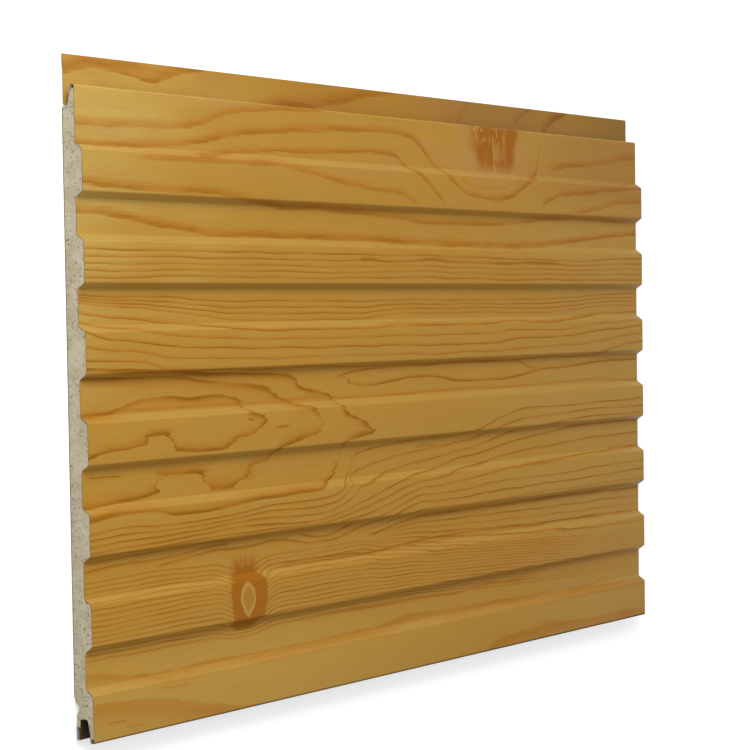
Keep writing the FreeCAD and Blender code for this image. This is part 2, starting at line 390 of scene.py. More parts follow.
@dataclass
class FormedStrip:
    """A strip drawn along the section path, bend by bend, for the panel's whole length.

    Attributes:
        name: the object's name.
        path: corners of the section in order; the first straight is level.
        size: the panel's sizes.
        closed: whether the path returns to its start.
        segments: faces round each bend.
    """

    name: str
    path: Sequence[Bend]
    size: PanelSizes
    closed: bool
    segments: int = 6

    def across(self, value_mm: float) -> float:
        """A distance from the lip's edge as a Y coordinate."""
        return (value_mm - self.size.overall_width / 2) * MM

    def build(self) -> bpy.types.Object:
        """Draw the strip.

        Returns:
            The strip as a single layer of faces.
        """
        first, second = self.path[0], self.path[1]
        deselect_all()
        middle = (self.across(first.across) + self.across(second.across)) / 2
        bpy.ops.mesh.primitive_plane_add(size=1.0, location=(0.0, middle, first.up * MM))
        piece = bpy.context.object
        piece.name = self.name
        piece.scale = (self.size.length * MM, (second.across - first.across) * MM, 1.0)
        place_here(piece)
        bpy.ops.object.mode_set(mode="EDIT")
        edge = self.across(second.across)
        select_parts(piece, "EDGE", lambda part: all(
            abs(vert.co.y - edge) < SAME_POINT for vert in part.verts))
        stops = list(self.path[2:]) + ([first] if self.closed else [])
        here = second
        for stop in stops:
            step = (0.0, (stop.across - here.across) * MM, (stop.up - here.up) * MM)
            bpy.ops.mesh.extrude_edges_move(TRANSFORM_OT_translate={"value": step})
            here = stop
        bpy.ops.mesh.select_all(action="SELECT")
        bpy.ops.mesh.remove_doubles(threshold=SAME_POINT)
        self.round_bends(piece)
        bpy.ops.mesh.select_all(action="SELECT")
        bpy.ops.mesh.normals_make_consistent(inside=False)
        bpy.ops.object.mode_set(mode="OBJECT")
        return piece

    def reaches(self) -> dict[int, float]:
        """How far each rounded corner's bend reaches along its straights.

        Returns:
            The reaches in millimetres, by corner number.
        """
        count = len(self.path)
        found = {}
        for index, bend in enumerate(self.path):
            if not bend.radius:
                continue
            here = bend.vector()
            before = here - self.path[index - 1].vector()
            after = self.path[(index + 1) % count].vector() - here
            found[index] = bend.radius * math.tan(before.angle(after) / 2)
        return found

    def round_bends(self, piece: bpy.types.Object) -> None:
        """Bevel the corner edges, those of one reach together.

        Args:
            piece: the strip in edit mode.
        """
        groups: dict[float, list[tuple[float, float]]] = {}
        for index, reach in self.reaches().items():
            bend = self.path[index]
            place = (self.across(bend.across), bend.up * MM)
            groups.setdefault(round(reach, 6), []).append(place)
        for reach, places in groups.items():

            def on_corner(edge: bmesh.types.BMEdge, wanted=tuple(places)) -> bool:
                """Whether an edge lies along one of the wanted corners."""
                one, two = (vert.co for vert in edge.verts)
                return abs(one.x - two.x) > SAME_END and any(abs(one.y - y) + abs(
                    one.z - z) < SAME_LINE for y, z in wanted)

            select_parts(piece, "EDGE", on_corner)
            bpy.ops.mesh.bevel(offset_type="OFFSET", offset=reach * MM, segments=self.segments,
                               profile=0.5, affect="EDGES", clamp_overlap=False)


# ---------------------------------------------------------------------------------------------
# Node graphs
# ---------------------------------------------------------------------------------------------
# Span of the drawn runs' curves, in millimetres: the panel and a little more.
RUN_SPAN = 690.0


@dataclass(frozen=True)
class Fade:
    """An easing of one value by another.

    Attributes:
        low: where it begins.
        high: where it ends.
        start: the value up to its beginning.
        end: the value from its end on.
        smooth: whether it eases softly, or straight.
    """

    low: float
    high: float
    start: float = 0.0
    end: float = 1.0
    smooth: bool = True


@dataclass(frozen=True)
class Streaks:
    """A noise that is stretched along the panel or across it.

    Attributes:
        along: its scale along the panel.
        across: its scale across the panel.
        shift: where it is cut from.
        detail: how many finer noises are added to it.
        roughness: how strong the finer ones are.
    """

    along: float
    across: float
    shift: Point = (0.0, 0.0)
    detail: float = 2.0
    roughness: float = 0.5


class Graph:
    """A node tree with short, typed ways to add and join its nodes."""

    def __init__(self, tree: bpy.types.NodeTree) -> None:
        """Keep the tree that nodes are added to."""
        self.tree = tree

    def add(self, kind: str, **settings: object) -> bpy.types.Node:
        """Add a node.

        Args:
            kind: the node's type name.
            **settings: properties to set on it.

        Returns:
            The new node.
        """
        node = self.tree.nodes.new(kind)
        for name, value in settings.items():
            setattr(node, name, value)
        return node

    def feed(self, socket: Socket, value: object) -> None:
        """Link a socket to another, or set its own value.

        Args:
            socket: the input to feed.
            value: a socket or a plain value.
        """
        if isinstance(value, bpy.types.NodeSocket):
            self.tree.links.new(value, socket)
        else:
            socket.default_value = value

    def math(self, operation: str, *values: Value) -> Socket:
        """Add a math node.

        Args:
            operation: the node's operation.
            *values: its one, two or three values.

        Returns:
            The result.
        """
        node = self.add("ShaderNodeMath", operation=operation)
        for socket, value in zip(node.inputs, values):
            self.feed(socket, value)
        return node.outputs[0]

    def plus(self, *values: Value) -> Socket:
        """The sum of the values."""
        return reduce(lambda total, value: self.math("ADD", total, value), values)

    def times(self, *values: Value) -> Socket:
        """The product of the values."""
        return reduce(lambda total, value: self.math("MULTIPLY", total, value), values)

    def largest(self, *values: Value) -> Socket:
        """The largest of the values."""
        return reduce(lambda total, value: self.math("MAXIMUM", total, value), values)

    def minus(self, value: Value, taken: Value) -> Socket:
        """One value less another."""
        return self.math("SUBTRACT", value, taken)

    def ramp(self, value: Value, low: Value, high: Value, start: Value = 0.0,
             end: Value = 1.0, smooth: bool = True) -> Socket:
        """A value eased from start to end as the input goes from low to high.

        Args:
            value: the input.
            low: where the easing begins.
            high: where it ends.
            start: the result up to its beginning.
            end: the result from its end on.
            smooth: whether it eases softly, or straight.

        Returns:
            The eased value.
        """
        node = self.add("ShaderNodeMapRange",
                        interpolation_type="SMOOTHSTEP" if smooth else "LINEAR")
        for name, number in (("Value", value), ("From Min", low), ("From Max", high),
                             ("To Min", start), ("To Max", end)):
            self.feed(node.inputs[name], number)
        return node.outputs["Result"]

    def fade(self, value: Value, fade: Fade) -> Socket:
        """A value eased as a fade says."""
        return self.ramp(value, fade.low, fade.high, fade.start, fade.end, fade.smooth)

    def shown(self, value: Socket, window: Window) -> Socket:
        """1 inside a window, eased to 0 beyond its ends."""
        return self.times(self.ramp(value, window[0], window[1]),
                          self.ramp(value, window[2], window[3], 1.0, 0.0))

    def streaks(self, place: Socket, look: Streaks) -> Socket:
        """A stretched noise.

        Args:
            place: where it is read.
            look: how it is stretched, and how fine it is.

        Returns:
            Its value.
        """
        node = self.add("ShaderNodeTexNoise", noise_dimensions="3D")
        self.feed(node.inputs["Vector"], self.scaled(place, (look.along, look.across, 1.0),
                                                     (*look.shift, 0.0)))
        node.inputs["Scale"].default_value = 1.0
        node.inputs["Detail"].default_value = look.detail
        node.inputs["Roughness"].default_value = look.roughness
        return node.outputs["Fac"]

    def scaled(self, place: Socket, factors: Colour, shift: Colour = (0.0, 0.0, 0.0)) -> Socket:
        """A place stretched by factors and shifted.

        Args:
            place: the place.
            factors: the factor on each axis.
            shift: what is added to it then.

        Returns:
            The new place.
        """
        node = self.add("ShaderNodeMapping")
        self.feed(node.inputs["Vector"], place)
        node.inputs["Scale"].default_value = factors
        node.inputs["Location"].default_value = shift
        return node.outputs["Vector"]

    def parts(self, place: Socket) -> tuple[Socket, ...]:
        """Split a place.

        Args:
            place: the place.

        Returns:
            Its three coordinates.
        """
        node = self.add("ShaderNodeSeparateXYZ")
        self.feed(node.inputs[0], place)
        return tuple(node.outputs)

    def blend(self, mask: Value, low: object, high: object, mode: str = "MIX") -> Socket:
        """Mix two colours.

        Args:
            mask: how much of the second colour shows.
            low: the first colour.
            high: the second colour.
            mode: how they are mixed.

        Returns:
            The mixed colour.
        """
        node = self.add("ShaderNodeMix", data_type="RGBA", blend_type=mode)
        self.feed(node.inputs[0], mask)
        for socket, value in ((node.inputs[6], low), (node.inputs[7], high)):
            self.feed(socket, value if isinstance(value, bpy.types.NodeSocket)
                      else (*value, 1.0))
        return node.outputs[2]

    def shaded(self, colour: Socket, shade: object) -> Socket:
        """A colour multiplied by a shade."""
        return self.blend(1.0, colour, shade, "MULTIPLY")

    def bump(self, shader: bpy.types.Node, height: Socket, strength: float,
             height_mm: float) -> None:
        """Give a shader a bump.

        Args:
            shader: the shader.
            height: the relief, from 0 to 1.
            strength: how strongly it shows.
            height_mm: its height.
        """
        node = self.add("ShaderNodeBump")
        node.inputs["Strength"].default_value = strength
        node.inputs["Distance"].default_value = height_mm * MM
        self.feed(node.inputs["Height"], height)
        self.feed(shader.inputs["Normal"], node.outputs["Normal"])

    def track(self, along: Socket, points: Run) -> Socket:
        """The height of a drawn run at each place along the panel.

        Args:
            along: the place, as a share of RUN_SPAN.
            points: the run's points, in millimetres; it goes on level beyond its ends.

        Returns:
            The height in metres.
        """
        ends = [*points, (RUN_SPAN, points[-1][1])]
        if ends[0][0] > 0:
            ends.insert(0, (0.0, ends[0][1]))
        node = self.add("ShaderNodeFloatCurve")
        line = node.mapping.curves[0]
        for index, (x, y) in enumerate(ends):
            place = (x / RUN_SPAN, y * MM)
            if index in (0, len(ends) - 1):
                stop = line.points[0 if index == 0 else -1]
                stop.location = place
            else:
                stop = line.points.new(*place)
            stop.handle_type = "AUTO_CLAMPED"
        node.mapping.update()
        self.feed(node.inputs["Value"], along)
        return node.outputs["Value"]

    def call(self, group: bpy.types.NodeTree, **values: object) -> bpy.types.Node:
        """Place a node group with its own values.

        Args:
            group: the group to place.
            **values: its inputs by name, with underscores for spaces.

        Returns:
            The group's node.
        """
        node = self.add("ShaderNodeGroup", node_tree=group)
        for name, value in values.items():
            self.feed(node.inputs[name.replace("_", " ")], value)
        return node


def new_group(name: str, inputs: dict[str, str],
              outputs: dict[str, str]) -> tuple[Graph, bpy.types.Node, bpy.types.Node]:
    """Start a shader node group with named inputs and outputs.

    Args:
        name: the group's name.
        inputs: socket types by input name.
        outputs: socket types by output name.

    Returns:
        The group's graph, its input node and its output node.
    """
    tree = bpy.data.node_groups.new(name, "ShaderNodeTree")
    for names, side in ((inputs, "INPUT"), (outputs, "OUTPUT")):
        for label, kind in names.items():
            tree.interface.new_socket(name=label, in_out=side, socket_type=kind)
    graph = Graph(tree)
    return graph, graph.add("NodeGroupInput"), graph.add("NodeGroupOutput")


FLOAT = "NodeSocketFloat"
VECTOR = "NodeSocketVector"
COLOUR = "NodeSocketColor"


def new_material(name: str) -> tuple[bpy.types.Material, Graph, bpy.types.Node]:
    """Start a material.

    Args:
        name: the material's name.

    Returns:
        The material, its graph and its Principled shader.
    """
    material = bpy.data.materials.new(name)
    material.use_nodes = True
    return material, Graph(material.node_tree), material.node_tree.nodes["Principled BSDF"]


# ---------------------------------------------------------------------------------------------
# Shared effects
# ---------------------------------------------------------------------------------------------
# Shape of a grain line: how softly its sharp side begins, in millimetres, how its other side
# falls off, and how much of its darkness holds before it falls.
FINE_EDGE = 0.9
FINE_FALL = 1.4
BROAD_EDGE = 1.5
BROAD_FALL = 1.0
ARCH_FALL = 2.4
LINE_HOLD = 1.3
# Lightest of a band's lines, as a share of its weight, and the seeds of the bands' own lines.
FAINTEST = 0.75
SEED_STEP, FIRST_SEED = 40.0, 3.0


def profile_group() -> bpy.types.NodeTree:
    """A group that turns a distance from a grain line into the line's darkness.

    A line starts within its edge on the inner side, holds for a while and fades over its width
    on the outer side.

    Returns:
        The group.
    """
    names = ("Offset", "Edge", "Width", "Fall", "Weight")
    graph, given, result = new_group("grain_profile", {name: FLOAT for name in names},
                                     {"Line": FLOAT})
    offset, edge, width, fall, weight = (given.outputs[name] for name in names)
    rise = graph.ramp(offset, graph.times(-1.0, edge), 0.0)
    tail = graph.math("POWER", graph.ramp(offset, width, 0.0, smooth=False), fall)
    held = graph.math("MINIMUM", graph.times(rise, tail, LINE_HOLD), 1.0)
    graph.feed(result.inputs["Line"], graph.times(held, weight))
    return graph.tree


def band_group(profile: bpy.types.NodeTree) -> bpy.types.NodeTree:
    """A group that draws evenly spaced grain lines from one guide to another.

    Args:
        profile: the group that shapes a single line.

    Returns:
        The group; it is given the height of a point and of both guides.
    """
    names = ("Height", "From", "To", "Rings", "Width", "Weight", "Seed")
    graph, given, result = new_group("grain_band", {name: FLOAT for name in names},
                                     {"Line": FLOAT})
    height, start, end, rings, width, weight, seed = (given.outputs[name] for name in names)
    span = graph.minus(end, start)
    share = graph.math("DIVIDE", graph.minus(height, start), span)
    count = graph.times(share, rings)
    step = graph.math("ABSOLUTE", graph.math("DIVIDE", span, rings))
    dice = graph.add("ShaderNodeTexWhiteNoise", noise_dimensions="1D")
    graph.feed(dice.inputs["W"], graph.plus(graph.math("FLOOR", count), seed))
    weight = graph.times(weight, graph.ramp(dice.outputs["Value"], 0.0, 1.0, FAINTEST, 1.0,
                                            smooth=False))
    line = graph.call(profile, Offset=graph.times(graph.math("FRACT", count), step),
                      Edge=FINE_EDGE * MM, Width=width, Fall=FINE_FALL,
                      Weight=weight).outputs["Line"]
    inside = graph.math("COMPARE", share, 0.5, 0.5)
    graph.feed(result.inputs["Line"], graph.times(line, inside))
    return graph.tree


def mottle_group() -> bpy.types.NodeTree:
    """A group of soft patches with fine specks, for surfaces that aren't quite even.

    Returns:
        The group.
    """
    graph, given, result = new_group(
        "mottle", {"Place": VECTOR, "Patch Scale": FLOAT, "Speck Scale": FLOAT},
        {"Patches": FLOAT, "Specks": FLOAT})
    for label, scale, detail in (("Patches", "Patch Scale", 3.0), ("Specks", "Speck Scale", 2.0)):
        node = graph.add("ShaderNodeTexNoise", noise_dimensions="3D")
        graph.feed(node.inputs["Vector"], given.outputs["Place"])
        graph.feed(node.inputs["Scale"], given.outputs[scale])
        node.inputs["Detail"].default_value = detail
        graph.feed(result.inputs[label], node.outputs["Fac"])
    return graph.tree


def shared_mottle() -> bpy.types.NodeTree:
    """The mottle group, made once."""
    return bpy.data.node_groups.get("mottle") or mottle_group()


# ---------------------------------------------------------------------------------------------
# The printed pine figure, in millimetres along the panel and across it from the lip
# ---------------------------------------------------------------------------------------------
PANEL_END = 670.0
# Lines wider than this are broad: they begin more softly, and are paler.
BROAD_FROM = 3.5
BROAD_DEPTH = 0.85
# A window that shows the panel's whole length.
EVERYWHERE = (-200.0, -100.0, 800.0, 900.0)
# Least distance from a fan's root at which its turn is still worked out.
FAN_LEAST = 4.0


@dataclass(frozen=True)
class Spot:
    """The point of the print that a node graph works on.

    Attributes:
        graph: the graph.
        place: the point.
        x: its distance along the panel.
        y: its distance across it.
    """

    graph: Graph
    place: Socket
    x: Socket
    y: Socket

    def streaks(self, look: Streaks) -> Socket:
        """A stretched noise at the point."""
        return self.graph.streaks(self.place, look)

    def fan(self, root: Point) -> Socket:
        """Coordinates that fan out towards the flange.

        Args:
            root: the point that they fan out from.

        Returns:
            The turn from straight across, and the distance across the panel.
        """
        graph = self.graph
        rise = graph.math("MAXIMUM", graph.minus(self.y, root[1]), FAN_LEAST)
        node = graph.add("ShaderNodeCombineXYZ")
        graph.feed(node.inputs["X"], graph.math("DIVIDE", graph.minus(self.x, root[0]), rise))
        graph.feed(node.inputs["Y"], self.y)
        return node.outputs[0]


@dataclass(frozen=True)
class GrainLine:
    """A drawn grain line of the print.

    Attributes:
        run: its points.
        width: how far it fades.
        weight: how dark it is.
        upward: whether it fades towards the flange.
        taper: over what length an end that lies on the panel fades.
    """

    run: Run
    width: float
    weight: float
    upward: bool = True
    taper: float = 10.0

    @property
    def broad(self) -> bool:
        """Whether it is one of the broad lines."""
        return self.width > BROAD_FROM

    def window(self) -> Window:
        """Where the line fades in and out; an end on the panel's edge doesn't fade.

        Returns:
            The window along the panel.
        """
        start, end = self.run[0][0], self.run[-1][0]
        if start <= 0:
            start = -self.taper - 1.0
        if end >= PANEL_END:
            end = PANEL_END + self.taper + 1.0
        return (start, start + self.taper, end - self.taper, end)


@dataclass(frozen=True)
class Arch:
    """A ring that closes in a ragged tip along the panel.

    Attributes:
        upper: its upper branch.
        lower: its lower branch; the branches cross at the tip.
        width: how far its outline fades.
        weight: how dark it is.
    """

    upper: Run
    lower: Run
    width: float
    weight: float


@dataclass(frozen=True)
class Band:
    """Fine grain lines laid between two guides.

    Attributes:
        start: the guide on the side of the pith.
        end: the guide on the outer side.
        rings: how many lines it holds.
        width: how far each one fades.
        weight: how dark they are.
        shown: where along the panel they fade in and out.
    """

    start: Run
    end: Run
    rings: int
    width: float
    weight: float
    shown: Window = EVERYWHERE


@dataclass(frozen=True)
class Oval:
    """An oval in the print.

    Attributes:
        along: its middle along the panel.
        across: its middle across the panel.
        half_length: half its length along the panel.
        half_width: half its width across the panel.
        power: 2 for an ellipse; more squares its outline, and less points its ends.
    """

    along: float
    across: float
    half_length: float
    half_width: float
    power: float = 2.0

    def distance(self, spot: Spot) -> Socket:
        """How far a point is from the middle.

        Args:
            spot: the point.

        Returns:
            The distance, 1 on the outline.
        """
        graph = spot.graph
        parts = []
        for value, middle, half in ((spot.x, self.along, self.half_length),
                                    (spot.y, self.across, self.half_width)):
            share = graph.math("DIVIDE", graph.minus(value, middle), half)
            parts.append(graph.math("POWER", graph.math("ABSOLUTE", share), self.power))
        return graph.math("POWER", graph.plus(*parts), 1.0 / self.power)


@dataclass(frozen=True)
class SmallKnot:
    """The whole knot low on the face, with spikes above it and a pale ring in its middle.

    Attributes:
        body: the dark knot.
        body_edge: how its outline fades.
        heart: its pale middle.
        heart_edge: how that fades.
        ring_inside: where the ring round the heart begins.
        ring_outside: where it ends.
        ring_depth: how pale it is.
        foot: the shadow under it.
        foot_edge: how that fades.
        dip: how far the grain dips round it.
        dip_length: over what share of its half length the grain dips.
        dip_width: over what width the grain dips.
        dip_power: how steep the dip's sides are.
        spikes_root: the point that its spikes fan out from.
        spikes_shown: where they are along the panel.
        spikes_foot: where they begin across it.
        spikes_tip: where they end.
        spikes: how they alternate.
        spikes_edge: how sharply they are parted.
        spikes_depth: how dark they are.
        unevenness: how rough the body's outline, the heart's and the spikes' tips are.
    """

    body: Oval = Oval(149.0, 71.5, 18.5, 20.5, 2.7)
    body_edge: Fade = Fade(0.90, 1.08, 0.88, 0.0)
    heart: Oval = Oval(147.7, 71.5, 8.0, 12.0, 1.6)
    heart_edge: Fade = Fade(0.55, 0.70, 0.9, 0.0)
    ring_inside: Fade = Fade(0.57, 0.72)
    ring_outside: Fade = Fade(0.88, 1.02, 1.0, 0.0)
    ring_depth: float = 0.66
    foot: Oval = Oval(151.0, 53.2, 15.0, 3.6)
    foot_edge: Fade = Fade(0.4, 1.1, 0.8, 0.0)
    dip: float = 7.5
    dip_length: float = 1.2
    dip_width: float = 27.0
    dip_power: float = 3.6
    spikes_root: Point = (152.0, 75.5)
    spikes_shown: Window = (133.0, 144.0, 156.0, 168.0)
    spikes_foot: Fade = Fade(86.5, 89.5)
    spikes_tip: Fade = Fade(93.5, 102.5, 1.0, 0.0)
    spikes: Streaks = Streaks(5.0, 0.02)
    spikes_edge: Fade = Fade(0.40, 0.58, 0.42, 1.0)
    spikes_depth: float = 0.9
    unevenness: tuple[float, float, float] = (0.26, 0.40, 8.0)

    def nearness(self, spot: Spot) -> Socket:
        """How much the grain dips at a point.

        Args:
            spot: the point.

        Returns:
            1 at the knot's middle, falling to 0 away from it.
        """
        graph = spot.graph
        dx = graph.math("DIVIDE", graph.minus(spot.x, self.body.along),
                        self.body.half_length * self.dip_length)
        dy = graph.math("DIVIDE", graph.minus(spot.y, self.body.across), self.dip_width)
        return graph.math("EXPONENT", graph.times(-1.0, graph.plus(
            graph.math("POWER", graph.math("ABSOLUTE", dx), self.dip_power),
            graph.times(dy, dy))))

    def laid_on(self, spot: Spot, colour: Socket, wobble: Socket,
                paint: "PinePrint") -> Socket:
        """Lay the knot over the wood.

        Args:
            spot: the point.
            colour: the wood's colour there.
            wobble: an uneven value that roughens its outlines.
            paint: the print's colours.

        Returns:
            The colour with the knot.
        """
        graph = spot.graph
        edge, core, tips = (graph.plus(value, graph.times(wobble, share)) for value, share in zip(
            (self.body.distance(spot), self.heart.distance(spot), spot.y), self.unevenness))
        colour = graph.blend(graph.fade(edge, self.body_edge), colour, paint.knot)
        comb = graph.streaks(spot.fan(self.spikes_root), self.spikes)
        spikes = graph.times(graph.fade(comb, self.spikes_edge),
                             graph.fade(spot.y, self.spikes_foot),
                             graph.fade(tips, self.spikes_tip),
                             graph.shown(spot.x, self.spikes_shown), self.spikes_depth)
        colour = graph.blend(spikes, colour, paint.knot)
        foot = graph.fade(self.foot.distance(spot), self.foot_edge)
        colour = graph.blend(foot, colour, paint.ring)
        colour = graph.blend(graph.fade(core, self.heart_edge), colour, paint.heart)
        ring = graph.times(graph.fade(core, self.ring_inside),
                           graph.fade(core, self.ring_outside), self.ring_depth)
        return graph.blend(ring, colour, paint.pale)


@dataclass(frozen=True)
class LargeKnot:
    """The knot that fans out to the nose's edge, with its crack and pale flecks.

    Attributes:
        root: the point that it fans out from.
        unevenness: how much its sides stray.
        grain: its own streaks.
        body: between which turns its dark body lies.
        body_foot: where the body begins across the panel.
        body_head: where it ends.
        body_streaks: how the streaks darken it.
        shadow: between which turns its rosy surround lies.
        shadow_foot: where that begins across the panel.
        shadow_streaks: how the streaks darken it.
        flecks: the pale flecks.
        flecks_edge: how sharp they are.
        flecks_along: where they are along the panel.
        flecks_foot: where they begin across it.
        flecks_head: where they end.
        crack: between which turns its crack lies.
        crack_across: where the crack is across the panel.
        pale_depth: how pale flecks and crack are.
    """

    root: Point = (456.0, 292.0)
    unevenness: float = 0.10
    grain: Streaks = Streaks(9.0, 0.03, (5.0, 5.0), 3.0)
    body: Window = (-0.42, -0.22, 0.26, 0.42)
    body_foot: Fade = Fade(358.0, 370.0)
    body_head: Fade = Fade(398.0, 406.0, 1.0, 0.0)
    body_streaks: Fade = Fade(0.34, 0.50, 0.42, 0.96)
    shadow: Window = (-0.66, -0.40, 0.36, 0.52)
    shadow_foot: Fade = Fade(342.0, 366.0)
    shadow_streaks: Fade = Fade(0.38, 0.62, 0.2, 0.75)
    flecks: Streaks = Streaks(0.30, 0.24, (3.0, 2.0))
    flecks_edge: Fade = Fade(0.56, 0.64)
    flecks_along: Window = (420.0, 430.0, 456.0, 466.0)
    flecks_foot: Fade = Fade(378.0, 386.0)
    flecks_head: Fade = Fade(395.0, 398.0, 1.0, 0.0)
    crack: Window = (-0.035, -0.015, -0.005, 0.015)
    crack_across: Window = (358.0, 366.0, 376.0, 384.0)
    pale_depth: float = 0.6

    def laid_on(self, spot: Spot, colour: Socket, wobble: Socket,
                paint: "PinePrint") -> Socket:
        """Lay the knot over the wood.

        Args:
            spot: the point.
            colour: the wood's colour there.
            wobble: an uneven value that roughens its outlines.
            paint: the print's colours.

        Returns:
            The colour with the knot.
        """
        graph = spot.graph
        fan = spot.fan(self.root)
        grain = graph.streaks(fan, self.grain)
        turn = graph.plus(graph.parts(fan)[0], graph.times(wobble, self.unevenness))
        shadow = graph.times(graph.shown(turn, self.shadow), graph.fade(spot.y, self.shadow_foot),
                             graph.fade(grain, self.shadow_streaks))
        colour = graph.blend(shadow, colour, paint.blush)
        body = graph.times(graph.shown(turn, self.body), graph.fade(spot.y, self.body_foot),
                           graph.fade(spot.y, self.body_head),
                           graph.fade(grain, self.body_streaks))
        colour = graph.blend(body, colour, paint.knot)
        flecks = graph.times(graph.fade(spot.streaks(self.flecks), self.flecks_edge),
                             graph.shown(spot.x, self.flecks_along),
                             graph.fade(spot.y, self.flecks_foot),
                             graph.fade(spot.y, self.flecks_head))
        crack = graph.times(graph.shown(turn, self.crack),
                            graph.shown(spot.y, self.crack_across))
        return graph.blend(graph.times(graph.largest(flecks, crack), self.pale_depth), colour,
                           paint.pale)


# Guides of the fine grain.
ABOVE_ARCH = ((0, 230), (30, 229), (60, 226), (72, 222.5), (100, 222), (160, 221), (300, 220),
              (560, 219.5), (600, 221), (620, 224), (645, 227.5), (670, 228))
FIRST_PAIR = ((0, 247), (15, 243), (40, 241), (70, 238), (100, 235.5), (150, 235), (220, 233),
              (300, 233), (350, 232), (450, 231.5), (465, 233.5), (520, 235), (560, 235.5),
              (590, 238), (640, 241), (670, 242))
SECOND_PAIR = ((0, 265), (30, 263), (60, 261), (100, 257), (120, 255), (150, 253), (280, 252),
               (310, 254), (450, 255), (520, 254), (560, 255), (600, 258), (670, 259))
UNDER_BEVEL = ((0, 272), (60, 270), (250, 269), (350, 268), (520, 268), (560, 270), (670, 272))
OVER_BEVEL = ((0, 280), (100, 281), (220, 280.5), (350, 281), (500, 280), (670, 280))
FINE_TOP = ((0, 301.5), (100, 301), (220, 301), (400, 300.5), (560, 299), (670, 303))
STEEP_RISE = ((0, 127.5), (30, 129), (80, 127), (130, 128), (180, 131), (220, 131), (245, 133),
              (256, 139), (265, 147), (269, 156), (285, 161), (300, 163), (350, 165),
              (400, 167), (425, 169), (440, 173), (455, 177), (490, 182), (600, 182),
              (670, 183))
SLOW_RISE = ((0, 115), (70, 117), (150, 120), (210, 117), (240, 119), (258, 122), (285, 128),
             (310, 134), (330, 138), (350, 141), (380, 144), (400, 148), (440, 152),
             (480, 157), (520, 161), (560, 164), (670, 165))
LOW_RISE = ((0, 105), (50, 107.5), (100, 109), (200, 109.5), (250, 110), (300, 115), (330, 122),
            (350, 125), (400, 125), (440, 127), (460, 128.5), (540, 128), (600, 130),
            (670, 131))
WEDGE_TOP = ((0, 101), (70, 102), (100, 104), (130, 106), (160, 107), (185, 107), (210, 103),
             (225, 101), (245, 101), (262, 103), (280, 101), (305, 103), (320, 105.5),
             (350, 108), (670, 108))
KNOT_TOP = ((0, 97), (60, 98), (120, 97), (180, 97), (280, 97), (300, 94), (340, 91), (370, 88),
            (400, 86), (450, 82), (520, 78), (600, 75), (670, 74))
FINE_BOTTOM = ((0, 46), (100, 46.5), (220, 48), (300, 48), (350, 47), (400, 46), (450, 45),
               (500, 43), (600, 40), (670, 40))
# How much longer the way to the flange is round the nose and the seat than straight across.
FLANGE_SHIFT = 28.6


def on_flange(run: Run) -> Run:
    """A run read across the panel, moved to where the print lies on the flange."""
    return tuple((x, y + FLANGE_SHIFT) for x, y in run)


